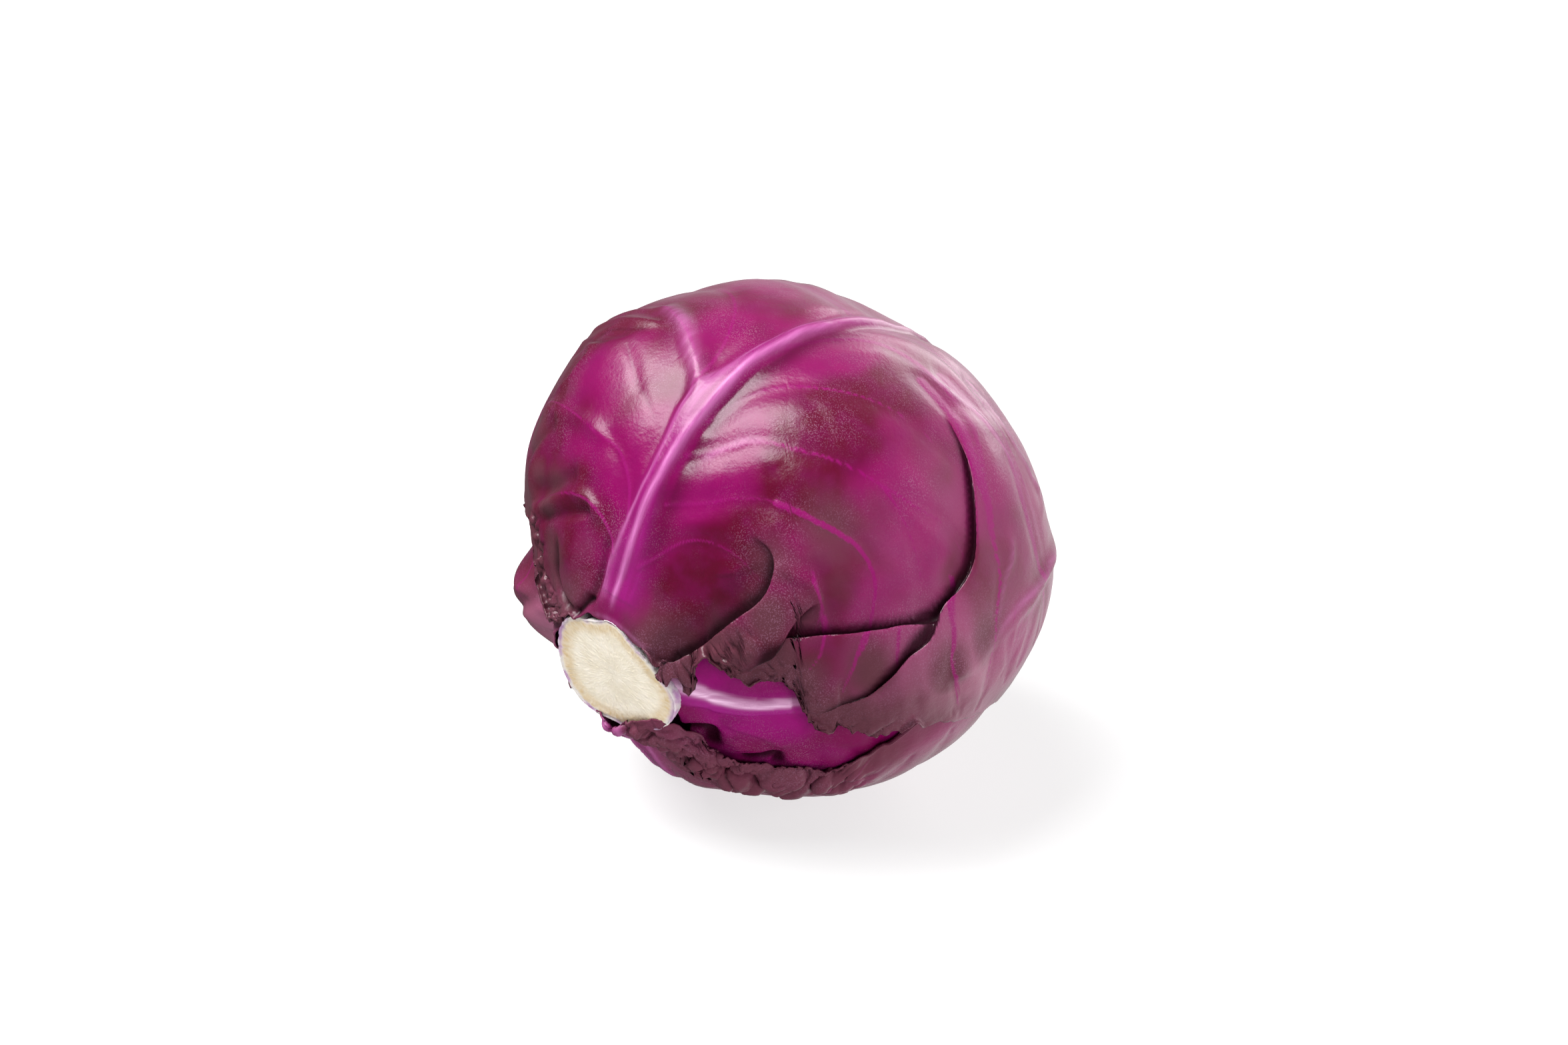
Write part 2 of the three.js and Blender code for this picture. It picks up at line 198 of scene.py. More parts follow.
def layeredNoise(x, y, size, seed, layers=3):
    # hills with hills half their size and height on them
    shares = [0.5 ** k for k in range(layers)]
    hills = [softNoise(x, y, size * share, seed + k) * share for k, share in enumerate(shares)]
    return sum(hills) / sum(shares)


# grids of points
def gridNormals(points):
    normal = np.cross(np.gradient(points, axis=0), np.gradient(points, axis=1))
    normal /= np.maximum(np.linalg.norm(normal, axis=2, keepdims=True), 1e-9)
    outward = np.sum(normal * (points - middle), axis=2).mean()
    return normal if outward > 0 else -normal


def softened(values, rounds):
    for _ in range(rounds):
        padded = np.pad(values, ((1, 1), (1, 1)) + ((0, 0),) * (values.ndim - 2), mode="edge")
        sides = padded[:-2, 1:-1] + padded[2:, 1:-1] + padded[1:-1, :-2] + padded[1:-1, 2:]
        values = 0.5 * values + 0.125 * sides
    return values


def gridFaces(index):
    return np.stack([index[:-1, :-1], index[1:, :-1], index[1:, 1:], index[:-1, 1:]], axis=-1).reshape(-1, 4)


def meshPiece(name, points, faces):
    mesh = bpy.data.meshes.new(name)
    mesh.from_pydata((points * metre).tolist(), [], faces)
    mesh.validate()
    mesh.update()
    mesh.shade_smooth()
    piece = bpy.data.objects.new(name, mesh)
    bpy.context.scene.collection.objects.link(piece)
    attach(piece, "root")
    return piece


def paint(piece, name, values):
    layer = piece.data.attributes.new(name, "FLOAT", "POINT")
    layer.data.foreach_set("value", np.ascontiguousarray(values, dtype=np.float32).ravel())


# how every leaf is made, in mm unless said otherwise
leafMaking = {
    "thickness": 0.9, "marginThickness": 0.5, "rimRound": 0.35,  # the rim's share of the thickness
    "innerStep": 2,  # cells of the outer face to one of the inner face
    "crowding": 0.45,  # draws the rows of cells towards the margin
    "edgeRipples": [(2.1, 1.1), (0.8, 0.45)], "leastRipple": 0.25,  # size and height, in degrees
    "tatter": 1.3, "tatterSize": 4.0,  # degrees
    "rippleHold": 10, "tatterHold": 14,  # the higher, the nearer they keep to the margin
    "pillow": 0.28, "pillowWidth": 8.0,  # leaf swelling between veins
    "grain": 0.07, "grainSize": 5.0, "waviness": 0.14, "waveSize": 17.0,
    "dropFrom": 0.84, "thinFrom": 0.8,  # shares of the way to the margin
    "lookAhead": 0.4,  # degrees, to find the way a margin rolls
    "flareFrom": 14.5, "flareTo": 27.0,  # degrees from the stem
    "boxShare": 0.985,  # where a leaf starts to be pressed back inside the head's own box
}

# every vein: heights and widths in mm
veinForm = {
    "ridge": 0.26, "valley": 0.55, "width": 0.66, "valleyWidth": 3.2,
    "broader": (0, 22, 1.2), "fade": (26, 50, 0.6),  # away from the stem: from, to, how much
    "taper": (1.25, 0.5), "valleyTaper": (1.3, 0.5),  # share of the width at the foot, and lost by the end
    "waning": 0.55, "endFrom": 0.9,  # the strength lost along it, and where its end starts
    "faintest": 0.15,  # the least strength that keeps the leaf beside it from swelling
}

# soft ridges, dents and holes: shares of their length, width and depth, and where their painted shade reaches
strokeForm = {"rise": 0.2, "fall": 0.8, "shadeWidth": 0.8, "holeFrom": 0.12, "holeTo": 0.8}

# side veins drawn by rule: shares of the length in the leaf's table; a fork's are shares of its own vein
ruledVein = {
    "stray": 2.5,  # degrees off the even pitch
    "shortest": 0.75, "lean": (0.35, 0.7), "bow": 2.6, "stations": [0.0, 0.25, 0.5, 0.75, 1.0],
    "forkReach": 0.45, "forkLead": (0.7, 1.2), "forkBend": [(0, 0), (0.5, 0.45), (0.8, 1)],
    "forkStrength": 0.55,
}

# the midrib's section, counted in half widths of the rib
ribForm = {
    "leftEdge": -1.0, "leftSlope": 0.42, "rightEdge": 0.86, "rightSlope": 0.26,
    "lineAt": -0.86, "lineWidth": 0.16, "hollowAt": -2.2, "hollowWidth": 1.1,
    "band": 0.80, "crest": 0.20, "line": 0.05,  # shares of the rib's height
    "hollow": 0.35,  # share of the trough's depth
    "troughRight": 2.6, "troughLeft": 8.5, "showFrom": 0.15, "showTo": 2.0,  # mm
    "fadeFrom": 0.86,  # share of the way to the leaf's tip
    "paleLine": 0.55,
}

# tight crumples; widths are shares of a crumple's size
crumpleForm = {
    "small": 0.45, "large": 1.6, "roundness": 0.004, "bump": 0.25, "steps": 3,
    "creaseLevel": 0.45,  # crumples rise above this share of their height and sink below it
    # the pucker levels over which the painted shade in the crevices fades out
    "creviceFrom": 0.12, "creviceTo": 0.5,
}

# what a leaf has where its own table says nothing; places are [along the midrib, across it] in degrees
evenMargin = [(-180, 0), (180, 0)]
plainLeaf = {
    "lean": 0.0, "gather": 0.0,  # the grid's cells drawn to the stem's end and to the midrib
    "crinkle": evenMargin, "edgeDrop": evenMargin, "maroonEdge": evenMargin,  # bearing and amount
    "crestAt": 0.50, "crestWidth": 0.26, "crestLine": None, "trough": 0.3, "troughLine": None,
    "folds": [], "crumples": [],
    "rolls": [],  # margins that roll up: bearing, spread, band, radius of the roll
    "veins": [],  # points and strength
    "lifts": [],  # place, width in degrees and height in mm
    "strokes": [], "pits": [],  # soft ridges, dents and holes: points, width and height in mm, darkness of the painted shade in them
    "pale": [],  # pale lines, partly pale tissue and partly painted highlight and sheen on ridges: points, width in mm, amount
    "maroon": [], "dusty": [], "deep": [],  # stains: place, width in degrees, amount; the dusty one is waxy bloom with painted sheen and reflection of the white surroundings
}
plainFold = {
    "gather": 7.0, "draw": 0.5,  # width in degrees and share by which the sheet is drawn together
    "width": 3.2, "tuck": 2.1,  # how wide the turn is, and how far the lip hangs over
    "run": 42, "hollow": 6.0, "sink": 0.0, "dark": 1.5,  # behind the lip, and in front of it; dark is the width of the painted shade in front of the lip
}

# every fold's section, counted in widths of the fold
foldForm = {
    "slope": 0.42, "hollowAt": 0.8, "hollowDepth": 0.9, "sinkAt": 1.3, "sinkWidth": 1.2, "lipReach": 2.0,
    "shadeFrom": 0.05, "shadeTo": 0.6,  # of the fold's strength
}


def leafWay(turn, x, y):
    centre, around = wayTo(90, turn), wayTo(90, turn + 90)
    far = np.maximum(np.hypot(x, y), 1e-9)
    outX, outY = np.sin(far * rad) * x / far, np.sin(far * rad) * y / far
    return np.cos(far * rad)[..., None] * centre - outX[..., None] * stemWay + outY[..., None] * around


def leafGrid(leaf):
    # a square grid pressed round, then drawn out to the leaf's margin with its ragged edge
    making = leafMaking
    t = np.linspace(-1.0, 1.0, leaf["cells"] + 1)
    inner = 1 - t * t
    u, v = np.meshgrid(t - leaf["lean"] * inner, t * (1 - leaf["gather"] * inner), indexing="ij")
    discX, discY = u * np.sqrt(1 - v * v / 2), v * np.sqrt(1 - u * u / 2)
    share = np.hypot(discX, discY)
    share = share + making["crowding"] * share ** 2 * (1 - share)
    bearing = np.arctan2(discY, discX) / rad
    margin = throughPairs(leaf["reach"], bearing)
    crinkle = throughPairs(leaf["crinkle"], bearing)
    ripple = np.zeros(share.shape)
    for k, (size, height) in enumerate(making["edgeRipples"]):
        ripple += height * softNoise(bearing, 0 * bearing, size, leaf["seed"] + k)
    reach = margin * share + (making["leastRipple"] + crinkle) * ripple * share ** making["rippleHold"]
    x = reach * np.cos(bearing * rad)
    y = reach * np.sin(bearing * rad) + alongCurve(leaf["midrib"], x) * (1 - share ** 4)
    tatter = making["tatter"] * crinkle * share ** making["tatterHold"]
    moves = [tatter * layeredNoise(x, y, making["tatterSize"], leaf["seed"] + k, 2) for k in (50, 55)]
    blank = np.zeros(share.shape)
    return SimpleNamespace(
        x=x + moves[0], y=y + moves[1], share=share, bearing=bearing,
        fromEdge=(1 - share) * margin * mmPerDegree, relief=blank, shade=blank, moveX=blank, moveY=blank)


def gatherSheet(sheet, folds):
    # the sheet is drawn together along each fold
    for fold in folds:
        distance, passed, leftX, leftY = nearLine(fold["points"], sheet.x, sheet.y, margin=20)
        pull = fold["draw"] * bell(distance, fold["gather"]) * (1 - sheet.share ** 6)
        pull = pull * smooth(0.0, 0.5, throughPairs(fold["lip"], passed))
        pull = np.where(np.abs(distance) < 0.9 * farAway, pull * distance, 0.0)
        sheet.x, sheet.y = sheet.x - leftX * pull, sheet.y - leftY * pull


def foldSheet(sheet, folds):
    # the sheet runs back under its raised side
    form = foldForm
    for fold in folds:
        distance, passed, leftX, leftY = nearLine(fold["points"], sheet.x, sheet.y, margin=60)
        beside = distance * mmPerDegree
        lip = throughPairs(fold["lip"], passed)
        strength = lip / max(value for _, value in fold["lip"])
        width = fold["width"]
        raised = 0.5 + 0.5 * np.tanh(beside / (form["slope"] * width))
        sheet.relief = sheet.relief + lip * raised * bell(np.maximum(beside, 0), fold["run"])
        hollow = form["hollowDepth"] * bell(beside + form["hollowAt"] * width, fold["hollow"])
        sink = fold["sink"] * bell(beside + form["sinkAt"] * width, form["sinkWidth"] * width)
        sheet.relief -= strength * (hollow + sink)
        tuck = -fold["tuck"] * strength * beside * bell(beside, width)
        sheet.moveX = sheet.moveX + leftX * tuck / mmPerDegree
        sheet.moveY = sheet.moveY + leftY * tuck / mmPerDegree
        # painted shade where the lip hides the sheet, and just in front of the lip
        steps, strengths = np.linspace(0.0, form["lipReach"] * width, 60), np.linspace(0, 1, 21)
        overhang = steps[:, None] * (strengths * fold["tuck"] * bell(steps, width)[:, None] - 1)
        lipBack = np.interp(strength, strengths, overhang.max(axis=0))
        lipAt = np.interp(strength, strengths, steps[overhang.argmax(axis=0)])
        before = np.maximum(-(beside + tuck) - lipBack, 0.0)
        gap = np.where(beside > -lipAt, 1.0, bell(before, fold["dark"]))
        gap = np.where(beside > lipAt, 0.0, gap)
        shown = smooth(form["shadeFrom"], form["shadeTo"], strength)
        sheet.shade = np.maximum(sheet.shade, gap * shown)


def raiseRib(sheet, leaf):
    # the midrib: a low flat band, a crest along its right side, and a steep drop to the valley beyond
    form, x, y = ribForm, sheet.x, sheet.y
    across = (y - alongCurve(leaf["midrib"], x)) * mmPerDegree / alongCurve(leaf["ribWidth"], x)
    height = alongCurve(leaf["ribHeight"], x)
    inland = 1 - smooth(form["fadeFrom"], 1.0, sheet.share) * (x > 0)
    awayFromEdge = 1 - sheet.share ** 4
    leftSide = np.tanh((across - form["leftEdge"]) / form["leftSlope"])
    rightSide = np.tanh((across - form["rightEdge"]) / form["rightSlope"])
    sheet.rib = 0.5 * (leftSide - rightSide)
    crest = bell(across - leaf["crestAt"], leaf["crestWidth"])
    if leaf["crestLine"]:
        crest = bell((y - alongCurve(leaf["crestLine"], x)) * mmPerDegree, leaf["crestMm"])
    leftLine = bell(across - form["lineAt"], form["lineWidth"])
    section = form["band"] * sheet.rib + form["crest"] * crest + form["line"] * leftLine
    sheet.relief = sheet.relief + height * inland * section
    sheet.trough = np.zeros(x.shape)
    if leaf["troughLine"]:
        fromTrough = (y - alongCurve(leaf["troughLine"], x)) * mmPerDegree
        width = np.where(fromTrough < 0, form["troughRight"], form["troughLeft"])
        sheet.trough = bell(fromTrough, width) * awayFromEdge
    hollow = form["hollow"] * bell(across - form["hollowAt"], form["hollowWidth"]) * awayFromEdge
    sheet.relief -= leaf["trough"] * (sheet.trough + hollow)
    sheet.ribShow = smooth(form["showFrom"], form["showTo"], height) * inland
    sheet.crest = np.clip(crest + form["paleLine"] * leftLine, 0, 1)


def spots(places, x, y, join=np.maximum):
    shown = np.zeros(x.shape)
    for atX, atY, width, amount in places:
        shown = join(shown, amount * bell(np.hypot(x - atX, y - atY), width))
    return shown


def besideLine(points, width, x, y):
    # distance from a line in mm, and the share of the line passed
    distance, passed, _, _ = nearLine(points, x, y, 3 * width / mmPerDegree)
    return distance * mmPerDegree, passed


def fadedEnds(passed, rise, fall):
    # 1 along a line's middle, and down to 0 at its two ends
    return smooth(0.0, rise, passed) * (1 - smooth(fall, 1.0, passed))


def raiseForms(sheet, leaf):
    form, x, y = strokeForm, sheet.x, sheet.y
    sheet.relief = sheet.relief + spots(leaf["lifts"], x, y, np.add)
    for points, width, height, *dark in leaf["strokes"]:
        distance, passed = besideLine(points, width, x, y)
        ends = fadedEnds(passed, form["rise"], form["fall"])
        sheet.relief += height * ends * bell(distance, width)
        # painted shade along a dent
        if dark:
            shade = dark[0] * ends * bell(distance, form["shadeWidth"] * width)
            sheet.shade = np.maximum(sheet.shade, shade)
    for points, width, depth in leaf["pits"]:
        hole = bell(besideLine(points, width, x, y)[0], width)
        sheet.relief -= depth * hole
        # painted shade in each hole
        sheet.shade = np.maximum(sheet.shade, smooth(form["holeFrom"], form["holeTo"], hole))


def ruledVeins(leaf):
    # forked side veins at an even pitch, leaning towards the tip and bending back as they go out
    rule, form = leaf["veinRule"], ruledVein
    draw = np.random.default_rng(rule["seed"])
    veins = []
    for side, (first, last) in ((1, rule["right"]), (-1, rule["left"])):
        for x in np.arange(first, last, rule["pitch"]):
            x += draw.uniform(-form["stray"], form["stray"])
            length = draw.uniform(form["shortest"], 1.0) * rule["length"]
            lean = draw.uniform(*form["lean"])
            steps = np.array(form["stations"]) * length
            bend = steps ** 2 / (form["bow"] * rule["length"])
            foot = float(alongCurve(leaf["midrib"], x))
            points = [(x + lean * s - b, foot + side * s) for s, b in zip(steps, bend)]
            veins.append((points, rule["strength"]))
            forkX, forkY = points[draw.integers(1, 3)]
            reach = form["forkReach"] * length
            lead = draw.uniform(*form["forkLead"]) * reach
            branch = [(forkX + along * lead, forkY + side * out * reach) for along, out in form["forkBend"]]
            veins.append((branch, form["forkStrength"] * rule["strength"]))
    return veins


def raiseVeins(sheet, leaf):
    # a vein is a thin ridge in a soft valley, and the leaf is swollen between veins
    form, x, y = veinForm, sheet.x, sheet.y
    sheet.vein, valley = np.zeros(x.shape), np.zeros(x.shape)
    nearest = np.full(x.shape, farAway)
    (foot, narrowing), (valleyFoot, valleyNarrowing) = form["taper"], form["valleyTaper"]
    (broadFrom, broadTo, broader), (fadeFrom, fadeTo, fade) = form["broader"], form["fade"]
    broad = 1 + broader * smooth(broadFrom, broadTo, x)
    faded = 1 - fade * smooth(fadeFrom, fadeTo, x)
    for points, strength in leaf["veins"] + ruledVeins(leaf):
        distance, passed, _, _ = nearLine(points, x, y, margin=10)
        far = np.abs(distance) * mmPerDegree
        here = strength * (1 - form["waning"] * passed) * (1 - smooth(form["endFrom"], 1.0, passed))
        width = form["width"] * (foot - narrowing * passed) * broad
        sheet.vein = np.maximum(sheet.vein, here * bell(far, width) * faded)
        valleyWidth = form["valleyWidth"] * (valleyFoot - valleyNarrowing * passed)
        valley = np.maximum(valley, here * bell(far, valleyWidth))
        nearest = np.minimum(nearest, far / np.maximum(here, form["faintest"]))
    swollen = (1 - bell(nearest, leafMaking["pillowWidth"])) * (1 - sheet.rib)
    sheet.relief = sheet.relief + form["ridge"] * sheet.vein - form["valley"] * valley
    sheet.relief += leafMaking["pillow"] * swollen


def raiseGrain(sheet, leaf):
    making, seed = leafMaking, leaf["seed"]
    sheet.alongMm, sheet.acrossMm = sheet.x * mmPerDegree, sheet.y * mmPerDegree
    grain = layeredNoise(sheet.alongMm, sheet.acrossMm, making["grainSize"], seed + 20)
    waves = layeredNoise(sheet.alongMm, sheet.acrossMm, making["waveSize"], seed + 30, 2)
    sheet.relief = sheet.relief + making["grain"] * grain + making["waviness"] * waves
    margin = smooth(making["dropFrom"], 1.0, sheet.share)
    sheet.relief -= throughPairs(leaf["edgeDrop"], sheet.bearing) * margin


def setOnHead(sheet, leaf):
    # the sheet in space, with its rolled margins
    layerPitch = headForm["layerPitch"]
    sheet.x, sheet.y = sheet.x + sheet.moveX, sheet.y + sheet.moveY
    sheet.floorHeight = max(leaf["layer"] - 1, 0) * layerPitch
    way = leafWay(leaf["turn"], sheet.x, sheet.y)
    flare = 1 - smooth(leafMaking["flareFrom"], leafMaking["flareTo"], angleTo(way, stemWay))
    radius = skinRadius(way) - leaf["layer"] * layerPitch + sheet.relief + leaf["flare"] * flare
    points = pointAt(way, radius, sheet.floorHeight)

    outX = sheet.x + leafMaking["lookAhead"] * np.cos(sheet.bearing * rad)
    outY = sheet.y + leafMaking["lookAhead"] * np.sin(sheet.bearing * rad)
    ahead = pointAt(leafWay(leaf["turn"], outX, outY), radius, sheet.floorHeight) - points
    ahead /= np.maximum(np.linalg.norm(ahead, axis=2, keepdims=True), 1e-9)
    for at, spread, band, roll in leaf["rolls"]:
        normal = gridNormals(softened(points, rounds=3))
        past = np.maximum(band * bell(sheet.bearing - at, spread) - sheet.fromEdge, 0.0)
        angle = past / roll
        back = past - roll * np.sin(angle)
        points = points - ahead * back[..., None] + normal * (roll * (1 - np.cos(angle)))[..., None]
    return points


def puckers(x, y, size, seed):
    # round pillows with tight creases between them, from 0 to 1
    form = crumpleForm
    small, large = form["small"] * size, form["large"] * size
    shiftX = small * softNoise(x, y, large, seed + 5)
    shiftY = small * softNoise(x, y, large, seed + 6)
    hills = softNoise(x + shiftX, y + shiftY, size, seed)
    bumps = softNoise(x + shiftY, y + shiftX, small, seed + 9)
    return np.minimum(1.0, np.sqrt(np.abs(hills) + form["roundness"]) + form["bump"] * np.abs(bumps))


def crumpleSheet(points, sheet, leaf):
    # tight crumples, blown up in steps so that they bulge over their creases
    form, steps = crumpleForm, crumpleForm["steps"]
    sheet.crumpled, sheet.crevice = np.zeros(sheet.x.shape), np.zeros(sheet.x.shape)
    for crumple in leaf["crumples"]:
        distance = nearLine(crumple["points"], sheet.x, sheet.y, 3 * crumple["width"])[0]
        alongSqueeze, acrossSqueeze = crumple.get("squeeze", (1, 1))
        mask = bell(distance, crumple["width"])
        hills = puckers(
            sheet.alongMm * alongSqueeze, sheet.acrossMm * acrossSqueeze, crumple["size"], crumple["seed"])
        height = mask * crumple["height"] * (hills - form["creaseLevel"])
        for _ in range(steps):
            points = points + gridNormals(softened(points, rounds=1)) * (height / steps)[..., None]
        sheet.crumpled = np.maximum(sheet.crumpled, mask)
        # painted shade in the crevices between the crumples
        crevice = 1 - smooth(form["creviceFrom"], form["creviceTo"], hills)
        sheet.crevice = np.maximum(sheet.crevice, mask * crevice)
    return points


def keptInside(points):
    # what stands past the head's own box is pressed back softly
    low, high = np.array(cadBox[0]) / metre, np.array(cadBox[1]) / metre
    centre, half = (low + high) / 2, (high - low) / 2
    share = leafMaking["boxShare"]
    spare = 1 - share
    away = (points - centre) / half
    past = np.maximum(np.abs(away) - share, 0.0)
    return centre + np.sign(away) * (np.minimum(np.abs(away), share) + spare * np.tanh(past / spare)) * half


def closeSheet(outer, sheet):
    # an inner face with wider cells, and a rounded rim between the two
    making, step = leafMaking, leafMaking["innerStep"]
    thinner = (making["marginThickness"] - making["thickness"]) * smooth(making["thinFrom"], 1.0, sheet.share)
    down = gridNormals(softened(outer, rounds=6)) * (making["thickness"] + thinner)[..., None]
    inner = outer - down
    innerFloor = sheet.floorHeight + 0.5 * (making["thickness"] + thinner)
    inner[..., 2] = np.maximum(inner[..., 2], innerFloor)
    border = np.ones(sheet.x.shape, bool)
    border[1:-1, 1:-1] = False
    outer[border] -= down[border] * making["rimRound"]
    inner = inner[::step, ::step]
    points = np.vstack([outer.reshape(-1, 3), inner.reshape(-1, 3)])
    outerIndex = np.arange(outer.shape[0] ** 2).reshape(outer.shape[:2])
    innerIndex = outerIndex.size + np.arange(inner.shape[0] ** 2).reshape(inner.shape[:2])
    faces = gridFaces(outerIndex).tolist() + gridFaces(innerIndex)[:, ::-1].tolist()
    sides = (
        (outerIndex[:, 0], innerIndex[:, 0], False), (outerIndex[:, -1], innerIndex[:, -1], True),
        (outerIndex[0], innerIndex[0], True), (outerIndex[-1], innerIndex[-1], False))
    for outerSide, innerSide, flip in sides:
        for k in range(len(innerSide) - 1):
            rim = outerSide[k * step:(k + 1) * step + 1].tolist() + innerSide[[k + 1, k]].tolist()
            faces.append(rim if flip else rim[::-1])
    corner = points[faces[0]]
    if np.cross(corner[1] - corner[0], corner[3] - corner[0]) @ (corner[0] - middle) < 0:
        faces = [face[::-1] for face in faces]
    return points, faces


# the painted marks
leafPaint = {
    "maroonFrom": 0.72, "maroonTo": 0.97,  # shares of the way to the margin
    "paleRise": 0.25, "paleFall": 0.6,  # shares of a pale line's length
    "crumpleMaroon": 0.9, "creviceDark": 0.9, "valleyShadeSharpness": 4.0, "mapScale": 0.01,
}


def paintLeaf(piece, sheet, leaf):
    form, step = leafPaint, leafMaking["innerStep"]
    x, y = sheet.x, sheet.y

    def both(values):
        return np.concatenate([values.ravel(), values[::step, ::step].ravel()])

    # pale rib crest and lines: pale tissue, with a painted highlight along the crests and ridges
    pale = sheet.ribShow * sheet.crest
    for points, width, amount in leaf["pale"]:
        distance, passed = besideLine(points, width, x, y)
        ends = fadedEnds(passed, form["paleRise"], form["paleFall"])
        pale = np.maximum(pale, amount * ends * bell(distance, width))
    margin = smooth(form["maroonFrom"], form["maroonTo"], sheet.share)
    edge = throughPairs(leaf["maroonEdge"], sheet.bearing) * margin
    maroon = np.maximum(spots(leaf["maroon"], x, y), edge)
    painted = {
        "vein": sheet.vein, "rib": sheet.ribShow * sheet.rib, "crest": pale,
        # painted shade in the trough beside the midrib
        "valley": sheet.ribShow * sheet.trough ** form["valleyShadeSharpness"],
        # painted shade in folds, dents, holes and crumple crevices
        "crease": np.maximum(sheet.shade, form["creviceDark"] * sheet.crevice),
        "maroon": np.maximum(maroon, form["crumpleMaroon"] * sheet.crumpled),
        # the dusty tint: waxy bloom, with painted sheen and reflection of the white surroundings
        "dusty": spots(leaf["dusty"], x, y), "deep": spots(leaf["deep"], x, y, np.add),
    }
    for name, values in painted.items():
        paint(piece, name, both(np.clip(values, -1, 1)))
    flat = piece.data.uv_layers.new(name="leafPlace")
    place = np.stack([both(sheet.alongMm), both(sheet.acrossMm)], axis=1) * form["mapScale"]
    loops = np.empty(len(piece.data.loops), np.int32)
    piece.data.loops.foreach_get("vertex_index", loops)
    flat.data.foreach_set("uv", place[loops].astype(np.float32).ravel())


def makeLeaf(name, table):
    leaf = {**plainLeaf, **table}
    folds = [{**plainFold, **fold} for fold in leaf["folds"]]
    sheet = leafGrid(leaf)
    gatherSheet(sheet, folds)
    foldSheet(sheet, folds)
    raiseRib(sheet, leaf)
    raiseForms(sheet, leaf)
    raiseVeins(sheet, leaf)
    raiseGrain(sheet, leaf)
    points = keptInside(crumpleSheet(setOnHead(sheet, leaf), sheet, leaf))
    points[..., 2] = np.maximum(points[..., 2], sheet.floorHeight)
    points, faces = closeSheet(points, sheet)
    piece = meshPiece(name, points, faces)
    paintLeaf(piece, sheet, leaf)
    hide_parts(leaf["node"])
    piece.data.materials.append(leafFinish(name, leaf["look"]))
    print(name, len(faces), "faces, box", points.min(0).round(1), points.max(0).round(1))


# finishes
def nodeKit(name):
    # a new material, with short ways to make its nodes and join them
    material = bpy.data.materials.new(name)
    material.use_nodes = True
    tree = material.node_tree
    sockets = tree.nodes["Principled BSDF"].inputs

    def node(kind, **settings):
        made = tree.nodes.new(kind)
        for key, value in settings.items():
            if key in made.inputs:
                made.inputs[key].default_value = value
            else:
                setattr(made, key, value)
        return made

    def fill(socket, value):
        if isinstance(value, bpy.types.NodeSocket):
            tree.links.new(value, socket)
        elif isinstance(value, tuple):
            socket.default_value = (*value, 1.0)
        else:
            socket.default_value = value

    def mixed(factor, first, second):
        mix = node("ShaderNodeMix", data_type="RGBA")
        for k, value in ((0, factor), (6, first), (7, second)):
            fill(mix.inputs[k], value)
        return mix.outputs[2]

    def sums(operation, *values):
        maths = node("ShaderNodeMath", operation=operation)
        for socket, value in zip(maths.inputs, values):
            fill(socket, value)
        return maths.outputs[0]

    def times(first, second):
        return sums("MULTIPLY", first, second)

    def plus(first, second):
        return sums("ADD", first, second)

    def ramp(value, low, high):
        limits = {"From Min": low, "From Max": high}
        fit = node("ShaderNodeMapRange", interpolation_type="SMOOTHSTEP", **limits)
        fill(fit.inputs["Value"], value)
        return fit.outputs["Result"]

    def partly(even, pattern):
        # an even share, and the pattern for the rest
        return plus(even, times(pattern, 1 - even))

    def attribute(name):
        return node("ShaderNodeAttribute", attribute_name=name).outputs["Fac"]

    place = node("ShaderNodeTexCoord").outputs["Object"]

    def noise(scale, detail=4.0, rough=0.55, vector=None):
        made = node("ShaderNodeTexNoise", Scale=scale, Detail=detail, Roughness=rough)
        fill(made.inputs["Vector"], vector or place)
        return made.outputs["Fac"]

    def bumped(relief, strength, distance):
        bump = node("ShaderNodeBump", Strength=strength, Distance=distance)
        fill(bump.inputs["Height"], relief)
        fill(sockets["Normal"], bump.outputs["Normal"])

    return SimpleNamespace(
        material=material, sockets=sockets, node=node, fill=fill, mixed=mixed, sums=sums, times=times,
        plus=plus, ramp=ramp, partly=partly, attribute=attribute, noise=noise, bumped=bumped)


# how one shade of the skin runs into the next: the levels it starts and ends at, and its share
skinBlend = {
    "cloudy": (0.36, 0.66), "mottled": (0.35, 0.7), "redder": (-0.10, 0.66), "stained": (0.26, 1.08),
    "veined": (0.22, 0.75), "streaked": (0.3, 0.75), "speckled": (0.5, 0.66), "patchy": (0.38, 0.72),
    "cloudShare": 0.6, "mottleShare": 0.35, "stainBreakup": 0.36, "valleyShadeShare": 0.85, "creaseShadeShare": 0.9,
    "evenRib": 0.55, "evenCrest": 0.45,  # the rest of each is streaked
    "streakFineness": 1.6, "roughScale": 120.0, "roughSpread": 0.12, "maroonRoughness": 0.08,
    "coarseGrain": 0.6, "fineGrain": 0.5,
}


